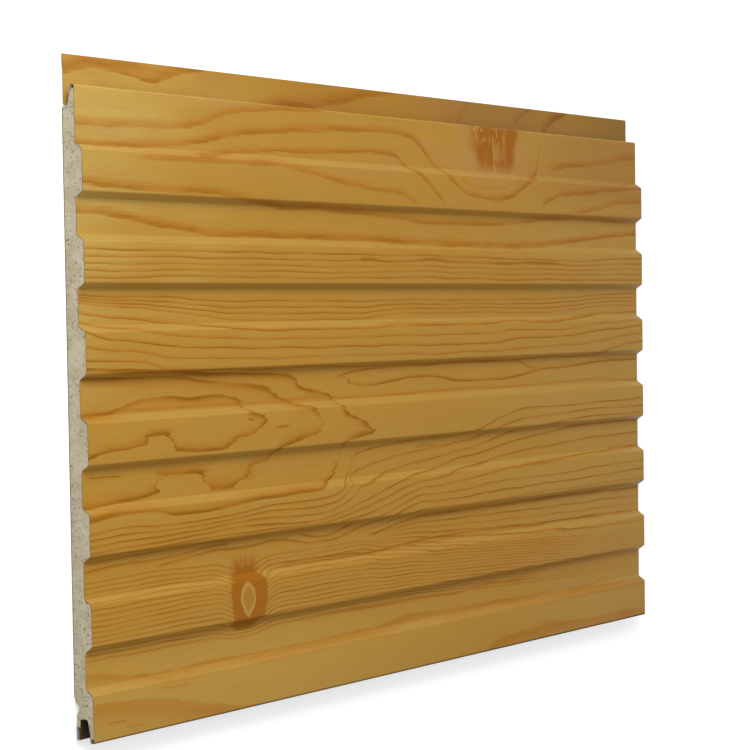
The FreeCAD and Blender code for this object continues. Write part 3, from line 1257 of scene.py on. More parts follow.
@dataclass(frozen=True)
class PineFigure:
    """The flat-sawn pine figure printed on the steel.

    Attributes:
        bands: the fine, straight grain.
        arches: the rings round the ragged loop.
        lines: the grain lines that are drawn one by one.
        large_knot: the knot at the nose.
        small_knot: the knot low on the face.
    """

    bands: tuple[Band, ...] = (
        Band(ABOVE_ARCH, FIRST_PAIR, 2, 2.9, 1.0),
        Band(FIRST_PAIR, SECOND_PAIR, 3, 2.9, 1.0),
        Band(SECOND_PAIR, UNDER_BEVEL, 4, 2.5, 0.95),
        Band(OVER_BEVEL, FINE_TOP, 5, 2.6, 1.0),
        Band(STEEP_RISE, SLOW_RISE, 3, 2.9, 1.0),
        Band(SLOW_RISE, LOW_RISE, 3, 2.9, 1.0),
        Band(LOW_RISE, WEDGE_TOP, 3, 2.5, 1.0, (230, 320, 800, 900)),
        Band(WEDGE_TOP, KNOT_TOP, 5, 2.5, 1.0, (285, 330, 600, 760)),
        Band(KNOT_TOP, FINE_BOTTOM, 16, 2.0, 1.0, (-200, -100, 480, 760)),
    )
    arches: tuple[Arch, ...] = (
        Arch(((0, 198), (25, 199), (40, 203), (75, 206), (100, 204.5), (125, 206), (140, 204),
              (150, 200), (153, 195), (165, 192), (171, 188), (180, 170), (190, 120)),
             ((0, 171), (15, 174), (40, 176), (50, 179), (55, 183), (70, 183), (76, 178),
              (80, 172), (120, 171), (130, 173), (140, 177), (155, 179), (165, 184),
              (171, 188), (180, 206), (190, 250)), 9.0, 1.0),
        Arch(((0, 221), (40, 220), (80, 218.5), (100, 217), (130, 214), (160, 211), (175, 208),
              (190, 202), (205, 197), (218, 193), (226, 189), (230, 176), (240, 120)),
             ((0, 141), (30, 143), (60, 146), (69, 150), (72, 158), (90, 157), (112, 154),
              (119, 144), (138, 144), (152, 149), (160, 157), (178, 161), (186, 167),
              (200, 171), (214, 174.5), (226, 178), (230, 192), (240, 250)), 10.0, 1.0),
        Arch(((0, 226), (60, 223.5), (120, 220), (180, 217.5), (205, 214), (213, 208),
              (235, 203), (248, 199), (252, 192), (262, 187), (276, 181), (290, 175),
              (300, 158), (310, 100)),
             ((0, 134), (30, 137), (60, 135.5), (80, 132), (120, 132.5), (170, 136),
              (220, 136), (238, 140), (248, 146), (254, 154), (257, 167), (270, 171),
              (290, 175), (300, 192), (310, 250)), 9.0, 1.0),
    )
    lines: tuple[GrainLine, ...] = (
        GrainLine(((0, 372), (60, 374), (100, 376), (120, 380), (140, 386), (180, 390.5),
                   (230, 394), (260, 396)), 6.0, 0.80),
        GrainLine(((0, 360), (50, 361), (100, 364), (150, 373), (200, 378), (260, 382),
                   (320, 384), (340, 382.5), (352, 379), (365, 370), (378, 360), (390, 353),
                   (405, 344.5), (425, 341), (450, 340), (470, 343), (485, 349.5),
                   (500, 356.5), (513, 361), (517, 368), (519, 377), (522, 388)), 6.0, 0.92,
                  taper=3.0),
        GrainLine(((395, 358), (410, 351), (425, 348.5), (450, 348), (465, 351), (480, 355),
                   (496, 360)), 4.0, 0.45),
        GrainLine(((522, 366), (540, 367.5), (560, 369.5), (600, 373), (670, 380.5)), 6.0, 0.85,
                  taper=30.0),
        GrainLine(((95, 355), (120, 358), (140, 361), (180, 364), (230, 366), (320, 369),
                   (330, 366), (338, 360), (348, 356), (360, 349), (382, 334), (388, 331)),
                  4.6, 0.90, taper=16.0),
        GrainLine(((510, 334), (518, 339), (530, 343), (540, 346.5), (580, 349),
                   (620, 352.5), (670, 357)), 5.0, 0.85),
        GrainLine(((45, 353.5), (100, 354), (150, 355.5), (190, 355), (230, 350), (260, 345),
                   (290, 342), (325, 341), (345, 333), (352, 329)), 5.4, 0.80, taper=16.0),
        GrainLine(((545, 329), (570, 333), (600, 337), (625, 341.5), (670, 344)), 5.0, 0.75,
                  taper=30.0),
        GrainLine(((0, 337), (20, 336), (60, 334.5), (120, 334), (145, 331.5), (180, 329.5),
                   (200, 328), (250, 327.5), (290, 326), (340, 323), (380, 320.5),
                   (440, 321.5), (480, 324), (520, 327), (600, 329), (670, 329)), 5.8, 0.90),
        GrainLine(((0, 319.5), (25, 318.5), (60, 314), (100, 311), (130, 307.5),
                   (220, 307.5), (300, 307), (340, 305.5), (440, 304.5), (500, 305.5),
                   (540, 308), (580, 311), (620, 314.5), (670, 318)), 6.0, 0.95),
        GrainLine(((270, 293.5), (285, 294), (300, 293), (330, 293), (362, 294),
                   (400, 293.6), (420, 292.6), (450, 293), (520, 293), (550, 292)), 3.2, 0.95),
        GrainLine(((0, 199), (230, 199), (300, 198), (400, 199), (500, 198.5), (600, 199.5),
                   (640, 198.5), (670, 197)), 2.2, 0.60),
        GrainLine(((255, 213), (262, 213), (268, 209.5), (280, 207), (300, 206), (320, 208),
                   (340, 209.5), (370, 209), (385, 207), (395, 205), (420, 204.5),
                   (450, 205), (480, 206), (500, 208), (520, 210), (560, 212),
                   (600, 213.5), (670, 215)), 3.2, 0.95),
        GrainLine(((252, 212.5), (262, 215), (280, 217), (300, 218), (485, 218.5),
                   (492, 216), (497, 214), (505, 212), (518, 210.5)), 3.2, 0.95, taper=5.0),
        GrainLine(((110, 156), (119, 145), (138, 144), (150, 148), (166, 150)), 13.0, 0.62,
                  taper=7.0),
        GrainLine(((3, 159.4), (20, 159.4), (38, 158.8)), 1.8, 0.85, taper=6.0),
        GrainLine(((148, 188), (153, 188.3), (159, 187.8)), 2.2, 0.90, taper=4.0),
        GrainLine(((177, 182), (186, 182.2), (197, 181.6)), 2.4, 0.90, taper=7.0),
        GrainLine(((344, 159), (360, 159.4), (376, 159)), 2.0, 0.80, taper=8.0),
        GrainLine(((0, 103.5), (40, 105.5), (80, 106), (110, 108), (140, 109.5)), 3.0, 0.88,
                  False),
        GrainLine(((60, 101), (75, 102), (100, 104), (130, 106), (160, 107), (185, 107),
                   (205, 104), (220, 101.5), (245, 101.5), (262, 104), (280, 107.5),
                   (300, 109.5)), 2.6, 0.88, False),
        GrainLine(((205, 109.5), (220, 106.5), (235, 105.5), (250, 107), (262, 109.5),
                   (275, 112)), 3.0, 0.95, False),
        GrainLine(((280, 100.5), (290, 100.5), (305, 103), (320, 105.5), (335, 107.5),
                   (400, 109), (560, 109), (670, 108)), 3.0, 0.95, False, 16.0),
        GrainLine(((178, 89.5), (200, 90), (230, 90), (260, 89.5), (290, 88), (380, 92),
                   (450, 91.5), (520, 89), (620, 89)), 2.6, 0.92, False, 24.0),
        GrainLine(((200, 50), (300, 49.5), (350, 48.5), (400, 47.5), (440, 50.5),
                   (480, 48.5), (510, 46.5)), 3.0, 0.80, False, 30.0),
        GrainLine(((0, 41), (20, 38), (40, 35), (60, 33.5), (90, 33), (115, 34), (140, 34.5),
                   (180, 32.5), (220, 32.5), (260, 33.5), (300, 34.5), (320, 36),
                   (345, 37.5), (400, 35), (450, 35.5), (480, 34), (520, 33), (600, 32),
                   (670, 31)), 7.0, 0.66, False),
        GrainLine(((0, 23), (20, 22), (40, 20.5), (60, 18), (80, 14.5), (100, 10), (120, 6),
                   (140, 1), (160, -4)), 20.0, 0.62, False),
        GrainLine(((410, -6), (430, 1), (445, 6), (480, 9), (520, 11), (560, 8), (600, 6),
                   (670, 6)), 14.0, 0.70, False),
        GrainLine(((8, 10.5), (20, 10.2), (32, 9.4)), 2.0, 0.85, False, 6.0),
        GrainLine(((24, 5.4), (40, 5.0), (54, 4.4)), 1.8, 0.70, False, 8.0),
        GrainLine(((58, 25.4), (76, 24.6), (92, 24.8)), 1.8, 0.55, False, 8.0),
        GrainLine(on_flange(((0, 402), (15, 406), (30, 408), (45, 407.5), (60, 406),
                             (80, 403), (92, 406), (105, 410), (130, 414), (140, 418),
                             (155, 430))), 16.0, 0.95),
        GrainLine(on_flange(((138, 371), (150, 373), (180, 388), (220, 396), (245, 397.5),
                             (260, 400), (280, 403), (300, 407.5), (330, 413), (345, 417),
                             (365, 426))), 10.0, 0.95),
        GrainLine(on_flange(((400, 372), (405, 386), (410, 404), (414, 418), (420, 440))),
                  8.0, 0.80, taper=3.0),
        GrainLine(on_flange(((408, 380), (420, 398), (436, 413), (450, 428))), 8.0, 0.70),
        GrainLine(on_flange(((486, 384), (497, 399), (505, 405), (515, 411), (527, 417),
                             (540, 428))), 9.0, 1.00, taper=6.0),
        GrainLine(on_flange(((525, 378), (540, 395), (555, 405), (575, 414), (600, 428))),
                  11.0, 1.00),
    )
    large_knot: LargeKnot = LargeKnot()
    small_knot: SmallKnot = SmallKnot()


# ---------------------------------------------------------------------------------------------
# Finishes
# ---------------------------------------------------------------------------------------------
# Unevenness of the print, from its broad clouds to its short fibres.
WANDER = Streaks(0.016, 0.05, (7.0, 3.0))
RAGGED = Streaks(0.02, 0.20, (3.0, 11.0), 3.0, 0.65)
FEATHER = Streaks(0.045, 0.85, (2.0, 6.0), 3.0, 0.6)
STRENGTH = Streaks(0.02, 0.12, (19.0, 5.0))
TONE = Streaks(0.006, 0.03, (2.0, 9.0))
CLOUD = Streaks(0.012, 0.05, (31.0, 4.0))
FIBRE = Streaks(0.02, 1.1, detail=3.0, roughness=0.6)
DASH = Streaks(0.07, 1.0, (5.0, 1.0), 1.0)
WOBBLE = Streaks(0.12, 0.07, detail=3.0, roughness=0.6)
# The paint's own skin, per metre.
SKIN = Streaks(500.0, 900.0)

# How far the grain strays, in millimetres, and how dark its lines are, by the noises above.
WANDER_REACH = Fade(0.2, 0.8, -1.3, 1.3, False)
RAGGED_REACH = Fade(0.25, 0.75, -7.0, 7.0, False)
FEATHER_REACH = Fade(0.25, 0.75, -1.3 * MM, 1.3 * MM, False)
WOBBLE_REACH = Fade(0.2, 0.8, -0.5, 0.5, False)
STRENGTHS = Fade(0.30, 0.62, 0.65, 1.0)
# The ragged loop: its middle across the panel, and how far from there and along it reaches.
LOOP_ACROSS = 180.0
LOOP_HALF_WIDTH = Fade(28.0, 50.0, 1.0, 0.0)
LOOP_LENGTH = Fade(300.0, 340.0, 1.0, 0.0)

# Where the wood changes colour. Towards the upper left it is paler, partly from the wood's own
# tone and partly as a painted sheen of light.
DRIFT_REACH = Fade(0.2, 0.8, -110.0, 110.0, False)
CORNER_LEAN = -0.9
CORNER_SHIFT = 340.0
CORNER_EDGE = Fade(5.0, 215.0)
DULL_FROM = Fade(400.0, 640.0)
DULL_CLOUDS = Fade(0.50, 0.80, 0.0, 0.6)
LIP_PALE = Fade(20.0, 80.0, 0.38, 0.0)
LIP_PALE_LENGTH = Fade(150.0, 450.0, 1.0, 0.0)
BLUSH_FROM = Fade(330.0, 370.0, 0.15, 1.0)
BLUSH_CLOUDS = Fade(0.52, 0.36, 0.0, 0.42)
FIBRE_SHADES = Fade(0.25, 0.75, 0.92, 1.05, False)
DASH_SHADES = Fade(0.70, 0.78, 0.0, 0.35)
LINE_DEPTH = 0.95
STAIN_EDGE = Fade(0.35, 0.95)
# Painted highlight on the bevels that face the flange: how strong it is, how far it fades before
# and after the bevel's upper end, and where it stops below the nose.
HIGHLIGHT_DEPTH = 0.55
HIGHLIGHT_BEFORE, HIGHLIGHT_AFTER = 0.5, 0.8
HIGHLIGHT_END = Fade(390.0, 396.0, 1.0, 0.0)

# Painted shade and tints on the sheet. The flange is painted darker, more so towards the far end,
# where it leans out of the light. The seat at the flange's foot is painted darker, and the lip's
# edge and the groove behind it are painted near black. The flange is tinted warmer, and the far
# upper corner darker and browner.
FLANGE_SHADES = (Fade(0.0, 330.0, 0.92, 0.84), Fade(350.0, 450.0, 1.0, 0.86),
                 Fade(580.0, 660.0, 1.0, 0.84))
FLANGE_FROM = Fade(396.5, 400.0)
FLANGE_TINT = (1.06, 1.0, 0.82)
SEAT_FROM, SEAT_TO = 413.0, 426.0
SEAT_SHADE = Fade(0.0, 200.0, 0.85, 0.62)
FAR_CORNER_LENGTH = Fade(440.0, 620.0)
FAR_CORNER_FROM = Fade(330.0, 352.0)
FAR_CORNER_TO = Fade(392.0, 398.0, 1.0, 0.0)
FAR_CORNER_TINT = (0.87, 0.79, 0.74)
LIP_EDGE_SHADE = Fade(0.3, 1.6, 0.12, 1.0)


class Guides:
    """Heights of the drawn runs at a point, with one curve for each run."""

    def __init__(self, graph: Graph, along: Socket) -> None:
        """Start with no curve.

        Args:
            graph: the graph that gets the curves.
            along: the place along the panel, as a share of the runs' span.
        """
        self.graph = graph
        self.along = along
        self.heights: dict[Run, Socket] = {}

    def at(self, run: Run) -> Socket:
        """Read a run at the point.

        Args:
            run: the run.

        Returns:
            Its height in metres.
        """
        if run not in self.heights:
            self.heights[run] = self.graph.track(self.along, run)
        return self.heights[run]


@dataclass(frozen=True)
class PinePrint:
    """Satin paint with a printed pine figure on the face of the steel, with painted highlight and
    painted shade laid over the figure.

    Attributes:
        figure: the printed figure.
        pale: colour of the wood between the rings.
        warm: colour of its warmer stretches.
        dull: colour of its greyer stretches.
        blush: colour of its rosy stretches.
        bevel_highlight: colour of the painted highlight on the bevels that face the flange.
        halo: colour of the faint side of the grain lines.
        ring: colour of their dark side.
        knot: colour of the knots.
        heart: colour of a knot's middle.
        roughness: the paint's roughness.
        gloss: how strongly it mirrors.
        relief: strength of its bump.
        relief_mm: height of its bump.
    """

    figure: PineFigure = PineFigure()
    pale: Colour = (0.535, 0.350, 0.080)
    warm: Colour = (0.467, 0.246, 0.034)
    dull: Colour = (0.466, 0.263, 0.053)
    blush: Colour = (0.460, 0.235, 0.072)
    bevel_highlight: Colour = (0.470, 0.300, 0.070)
    halo: Colour = (0.430, 0.145, 0.005)
    ring: Colour = (0.290, 0.112, 0.001)
    knot: Colour = (0.345, 0.112, 0.002)
    heart: Colour = (0.430, 0.200, 0.024)
    roughness: float = 0.42
    gloss: float = 0.11
    relief: float = 0.12
    relief_mm: float = 0.3

    def figure_group(self) -> bpy.types.NodeTree:
        """The figure as a node group.

        Returns:
            A group that turns the print's own coordinates into a colour and a line mask.
        """
        graph, given, result = new_group("pine_figure", {"Print": VECTOR},
                                         {"Colour": COLOUR, "Lines": FLOAT})
        place = graph.scaled(given.outputs["Print"], (1.0 / MM, 1.0 / MM, 1.0 / MM))
        x, y, _ = graph.parts(place)
        spot = Spot(graph, place, x, y)
        lines = self.lines(spot)
        colour = self.wood(spot, lines)
        wobble = graph.fade(spot.streaks(WOBBLE), WOBBLE_REACH)
        for knot in (self.figure.large_knot, self.figure.small_knot):
            colour = knot.laid_on(spot, colour, wobble, self)
        graph.feed(result.inputs["Colour"], self.with_painted_shade(spot, colour))
        graph.feed(result.inputs["Lines"], lines)
        return graph.tree

    def flowing(self, spot: Spot) -> Socket:
        """The height of a point with the grain's own wander and its dip taken out.

        Args:
            spot: the point.

        Returns:
            The height in metres.
        """
        graph, knot = spot.graph, self.figure.small_knot
        dip = graph.times(knot.nearness(spot), knot.dip)
        wander = graph.fade(spot.streaks(WANDER), WANDER_REACH)
        return graph.times(graph.plus(spot.y, dip, wander), MM)

    def ragged(self, spot: Spot) -> Socket:
        """The place along the panel, made ragged round the loop.

        Args:
            spot: the point.

        Returns:
            The place, as a share of the runs' span.
        """
        graph = spot.graph
        off = graph.math("ABSOLUTE", graph.minus(spot.y, LOOP_ACROSS))
        near = graph.times(graph.fade(off, LOOP_HALF_WIDTH), graph.fade(spot.x, LOOP_LENGTH))
        shift = graph.times(near, graph.fade(spot.streaks(RAGGED), RAGGED_REACH))
        return graph.math("DIVIDE", graph.plus(spot.x, shift), RUN_SPAN)

    def lines(self, spot: Spot) -> Socket:
        """Draw all the grain lines.

        Args:
            spot: the point.

        Returns:
            How dark the lines are there.
        """
        graph = spot.graph
        profile = profile_group()
        band = band_group(profile)
        height = self.flowing(spot)
        feathered = graph.plus(height, graph.fade(spot.streaks(FEATHER), FEATHER_REACH))
        guides = Guides(graph, self.ragged(spot))
        parts = []
        for index, item in enumerate(self.figure.bands):
            line = graph.call(band, Height=height, From=guides.at(item.start),
                              To=guides.at(item.end), Rings=float(item.rings),
                              Width=item.width * MM, Weight=item.weight,
                              Seed=index * SEED_STEP + FIRST_SEED).outputs["Line"]
            parts.append(graph.times(line, graph.shown(spot.x, item.shown)))
        for item in self.figure.arches:
            inside = graph.math("MINIMUM", graph.minus(guides.at(item.upper), height),
                                graph.minus(height, guides.at(item.lower)))
            parts.append(graph.call(profile, Offset=inside, Edge=FINE_EDGE * MM,
                                    Width=item.width * MM, Fall=ARCH_FALL,
                                    Weight=item.weight).outputs["Line"])
        for item in self.figure.lines:
            level, edge, fall, depth = (
                (feathered, BROAD_EDGE, BROAD_FALL, BROAD_DEPTH) if item.broad
                else (height, FINE_EDGE, FINE_FALL, 1.0))
            pair = (level, guides.at(item.run))
            line = graph.call(profile, Offset=graph.minus(*(pair if item.upward else pair[::-1])),
                              Edge=edge * MM, Width=item.width * MM, Fall=fall,
                              Weight=item.weight * depth).outputs["Line"]
            parts.append(graph.times(line, graph.shown(spot.x, item.window())))
        return graph.times(graph.largest(*parts), graph.fade(spot.streaks(STRENGTH), STRENGTHS))

    def wood(self, spot: Spot, lines: Socket) -> Socket:
        """Colour the wood between and on the lines.

        Args:
            spot: the point.
            lines: how dark the grain lines are there.

        Returns:
            The wood's colour.
        """
        graph = spot.graph
        cloud = spot.streaks(CLOUD)
        drift = graph.plus(spot.x, graph.fade(spot.streaks(TONE), DRIFT_REACH))
        # The ground is paler towards the upper left: partly the wood's tone, partly a painted
        # sheen of light.
        corner = graph.math("MULTIPLY_ADD", spot.y, CORNER_LEAN,
                            graph.plus(drift, CORNER_SHIFT))
        pale_lip = graph.times(graph.fade(spot.y, LIP_PALE), graph.fade(spot.x, LIP_PALE_LENGTH))
        blush = graph.times(graph.fade(spot.y, BLUSH_FROM), graph.fade(cloud, BLUSH_CLOUDS))
        ground = graph.blend(graph.fade(corner, CORNER_EDGE), self.pale, self.warm)
        # The last mask paints a pale highlight on the bevels that face the flange.
        for mask, colour in ((graph.fade(drift, DULL_FROM), self.dull),
                             (graph.fade(cloud, DULL_CLOUDS), self.dull),
                             (pale_lip, self.pale), (blush, self.blush),
                             (self.bevel_highlight_mask(spot), self.bevel_highlight)):
            ground = graph.blend(mask, ground, colour)
        ground = graph.shaded(ground, graph.fade(spot.streaks(FIBRE), FIBRE_SHADES))
        mask = graph.largest(graph.times(lines, LINE_DEPTH),
                             graph.fade(spot.streaks(DASH), DASH_SHADES))
        return graph.blend(mask, ground,
                           graph.blend(graph.fade(mask, STAIN_EDGE), self.halo, self.ring))

    def bevel_highlight_mask(self, spot: Spot) -> Socket:
        """Find the bevels that face the flange, where a pale highlight is painted over the print.

        Args:
            spot: the point.

        Returns:
            How much it is stretched there.
        """
        graph, size = spot.graph, PanelSizes()
        pitch = size.cover_width / size.rib_count
        crown = size.first_rib_centre + size.rib_crown / 2
        turns = graph.math("DIVIDE", graph.minus(spot.y, crown), pitch)
        offset = graph.times(graph.math("FRACT", turns), pitch)
        bevel = graph.ramp(offset, size.bevel_run - HIGHLIGHT_BEFORE, size.bevel_run + HIGHLIGHT_AFTER,
                           HIGHLIGHT_DEPTH, 0.0)
        return graph.times(bevel, graph.fade(spot.y, HIGHLIGHT_END))

    def with_painted_shade(self, spot: Spot, colour: Socket) -> Socket:
        """Paint shade on the flange, in the seat, on the lip's edge and in the groove behind it,
        and tint the flange and the far upper corner.

        Args:
            spot: the point.
            colour: the print's colour there.

        Returns:
            The colour with its painted shade and tints.
        """
        graph, x, y = spot.graph, spot.x, spot.y
        flange = graph.times(*(graph.fade(x, shade) for shade in FLANGE_SHADES))
        seat = graph.ramp(y, SEAT_FROM, SEAT_TO, graph.fade(x, SEAT_SHADE), 1.0)
        corner = graph.times(graph.fade(x, FAR_CORNER_LENGTH), graph.fade(y, FAR_CORNER_FROM),
                             graph.fade(y, FAR_CORNER_TO))
        beyond = graph.fade(y, FLANGE_FROM)
        colour = graph.blend(corner, colour, graph.shaded(colour, FAR_CORNER_TINT))
        colour = graph.blend(beyond, colour, graph.shaded(colour, FLANGE_TINT))
        # Painted shade: the flange and the seat darker, and the lip's edge and the groove behind
        # it near black.
        shade = graph.times(graph.ramp(beyond, 0.0, 1.0, 1.0, graph.times(flange, seat)),
                            graph.fade(y, LIP_EDGE_SHADE))
        return graph.shaded(colour, shade)

    def material(self) -> bpy.types.Material:
        """The painted face's material.

        Returns:
            The material; it reads the sheet's own map.
        """
        material, graph, shader = new_material("pine_print")
        where = graph.add("ShaderNodeUVMap", uv_map=PRINT_MAP).outputs["UV"]
        figure = graph.call(self.figure_group(), Print=where)
        graph.feed(shader.inputs["Base Color"], figure.outputs["Colour"])
        shader.inputs["Roughness"].default_value = self.roughness
        shader.inputs["Specular IOR Level"].default_value = self.gloss
        graph.bump(shader, graph.streaks(where, SKIN), self.relief, self.relief_mm)
        return material


# Noise levels between which a plain finish's patches and roughness change, the softness of its
# specks, and the share of its painted shadow line along the foot that is fully dark.
PATCH_EDGE = Fade(0.38, 0.66)
ROUGH_LEVELS = (0.3, 0.7)
SPECK_SOFTNESS = 0.08
SHADOW_LINE_FULL = 0.6


@dataclass(frozen=True)
class PlainFinish:
    """A surface of one colour with soft patches and fine specks.

    Attributes:
        name: the material's name.
        colour: its usual colour.
        patch: the colour of its patches.
        speck: the colour of its specks.
        patch_scale: patches per metre.
        speck_scale: specks per metre.
        speck_from: noise level at which specks begin.
        metallic: how metallic it is.
        roughness: lowest and highest roughness.
        relief_mm: height of its bump.
        shadow_line_mm: height above the back up to which it is as dark as its specks, a painted
            shadow line along its foot.
        relief: strength of its bump.
    """

    name: str
    colour: Colour
    patch: Colour
    speck: Colour
    patch_scale: float
    speck_scale: float
    speck_from: float
    metallic: float
    roughness: tuple[float, float]
    relief_mm: float
    shadow_line_mm: float = 0.0
    relief: float = 0.6

    def material(self, mottle: bpy.types.NodeTree) -> bpy.types.Material:
        """The finish as a material.

        Args:
            mottle: the shared group of patches and specks.

        Returns:
            The material.
        """
        material, graph, shader = new_material(self.name)
        where = graph.add("ShaderNodeTexCoord").outputs["Object"]
        node = graph.call(mottle, Place=where, Patch_Scale=self.patch_scale,
                          Speck_Scale=self.speck_scale)
        patches, specks = node.outputs["Patches"], node.outputs["Specks"]
        colour = graph.blend(graph.fade(patches, PATCH_EDGE), self.colour, self.patch)
        mask = graph.ramp(specks, self.speck_from, self.speck_from + SPECK_SOFTNESS)
        # A painted shadow line along the foot, as dark as the specks up to this height above the
        # back.
        if self.shadow_line_mm:
            level = graph.parts(where)[2]
            mask = graph.largest(mask, graph.ramp(level, self.shadow_line_mm * MM * SHADOW_LINE_FULL,
                                                  self.shadow_line_mm * MM, 1.0, 0.0))
        graph.feed(shader.inputs["Base Color"], graph.blend(mask, colour, self.speck))
        graph.feed(shader.inputs["Roughness"], graph.ramp(patches, *ROUGH_LEVELS,
                                                          *self.roughness, smooth=False))
        shader.inputs["Metallic"].default_value = self.metallic
        graph.bump(shader, graph.minus(patches, mask), self.relief, self.relief_mm)
        return material


BACK_PRIMER = PlainFinish("back_primer", (0.40, 0.39, 0.34), (0.36, 0.35, 0.31),
                          (0.30, 0.29, 0.26), 30.0, 900.0, 0.70, 0.0, (0.45, 0.6), 0.02)
SAWN_STEEL = PlainFinish("sawn_steel", (0.10, 0.085, 0.065), (0.06, 0.05, 0.04),
                         (0.25, 0.22, 0.18), 200.0, 1500.0, 0.64, 0.5, (0.4, 0.6), 0.02)
# The foam carries a painted shadow line 0.7 mm high along its foot, at the foil's edge.
RIGID_FOAM = PlainFinish("rigid_foam", (0.425, 0.370, 0.248), (0.50, 0.440, 0.315),
                         (0.23, 0.19, 0.12), 110.0, 620.0, 0.61, 0.0, (0.9, 1.0), 0.40, 0.7)
CREASED_FOIL = PlainFinish("creased_foil", (0.80, 0.81, 0.82), (0.72, 0.73, 0.74),
                           (0.60, 0.60, 0.61), 26.0, 300.0, 0.72, 1.0, (0.28, 0.42), 0.6)


# ---------------------------------------------------------------------------------------------
# The panel's pieces
# ---------------------------------------------------------------------------------------------
SMOOTH_ANGLE = math.radians(30)
# Shares of a step that keep the foam's net off the section's own corners.
OFF_LEVEL = 0.13
OFF_ROW = 0.37
# A straight of the section is on the ribbed face if it runs across by this share of its length.
FACE_SLOPE = 0.3


class SheetSide(Enum):
    """Material slots of the face sheet, in the order that its wall is thickened with."""

    PAINTED = 0
    BACK = 1
    SAWN = 2


def hand_over(piece: bpy.types.Object, node: str) -> None:
    """Let a finished piece ride on the panel and stand for its CAD node.

    Args:
        piece: the finished piece.
        node: the CAD node that it replaces.
    """
    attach(piece, BODY)
    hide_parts(node)
    LOG.info("%s: %d faces for %s", piece.name, len(piece.data.polygons), node)


@dataclass
class FaceSheet:
    """The roll-formed strip with its printed paint.

    Attributes:
        size: the panel's sizes.
        smooth_angle: sharpest bend that is shaded as a curve.
    """

    size: PanelSizes
    smooth_angle: float = SMOOTH_ANGLE

    def build(self) -> bpy.types.Object:
        """Form the strip, lay out its print and give it its thickness.

        Returns:
            The finished sheet.
        """
        strip = FormedStrip("painted_face_sheet", Section(self.size).steel(), self.size, False)
        piece = strip.build()
        self.face_outwards(piece)
        self.lay_out_print(piece)
        wall = piece.modifiers.new("wall", "SOLIDIFY")
        wall.thickness = self.size.sheet * MM
        wall.offset = 1.0
        wall.use_even_offset = True
        wall.material_offset = SheetSide.BACK.value
        wall.material_offset_rim = SheetSide.SAWN.value
        for finish in (PinePrint().material(), BACK_PRIMER.material(shared_mottle()),
                       SAWN_STEEL.material(shared_mottle())):
            piece.data.materials.append(finish)
        apply_modifiers(piece)
        bpy.ops.object.shade_smooth_by_angle(angle=self.smooth_angle)
        hand_over(piece, "face_sheet")
        return piece

    def face_outwards(self, piece: bpy.types.Object) -> None:
        """Turn the strip's faces to the painted side.

        Args:
            piece: the strip, as a single layer.
        """
        crown = max(piece.data.polygons, key=lambda face: face.center.z)
        if crown.normal.z < 0:
            deselect_all()
            bpy.context.view_layer.objects.active = piece
            piece.select_set(True)
            bpy.ops.object.mode_set(mode="EDIT")
            bpy.ops.mesh.select_all(action="SELECT")
            bpy.ops.mesh.flip_normals()
            bpy.ops.object.mode_set(mode="OBJECT")

    def section_chain(self, piece: bpy.types.Object) -> list[int]:
        """Follow the section at the near end.

        Args:
            piece: the strip, as a single layer.

        Returns:
            The points in order, from the hem's raw edge to the hook's.
        """
        verts = piece.data.vertices
        beside: dict[int, list[int]] = {vert.index: [] for vert in verts if vert.co.x < 0}
        for edge in piece.data.edges:
            one, two = edge.vertices
            if one in beside and two in beside:
                beside[one].append(two)
                beside[two].append(one)
        ends = [index for index, near in beside.items() if len(near) == 1]
        chain = [max(ends, key=lambda index: verts[index].co.y)]
        while len(chain) < len(beside):
            chain.append(next(index for index in beside[chain[-1]]
                              if index not in chain[-2:]))
        return chain

    def lay_out_print(self, piece: bpy.types.Object) -> None:
        """Give the strip the print's own map.

        The map runs along the panel and across the flat strip. On the ribbed face it keeps to
        the cover width, so that the figure reads straight on over the bends.

        Args:
            piece: the strip, as a single layer.
        """
        verts = piece.data.vertices
        chain = self.section_chain(piece)
        half = self.size.overall_width / 2 * MM
        low = (self.size.recess_face - self.size.sheet) * MM - SAME_LINE
        rows = {chain[0]: 0.0}
        first_front = None
        for here, there in zip(chain, chain[1:]):
            step = verts[there].co - verts[here].co
            front = step.y < -FACE_SLOPE * step.length and verts[there].co.z > low
            if front and first_front is None:
                first_front = there
            rows[there] = rows[here] - (abs(step.y) if front else step.length)
        shift = verts[first_front].co.y + half - rows[first_front]
        for edge in piece.data.edges:
            one, two = edge.vertices
            if (one in rows) != (two in rows):
                near, far = (one, two) if one in rows else (two, one)
                rows[far] = rows[near]
        layer = piece.data.uv_layers.get(PRINT_MAP) or piece.data.uv_layers.new(name=PRINT_MAP)
        for loop in piece.data.loops:
            along = verts[loop.vertex_index].co.x + self.size.length / 2 * MM
            layer.data[loop.index].uv = (along, rows[loop.vertex_index] + shift)


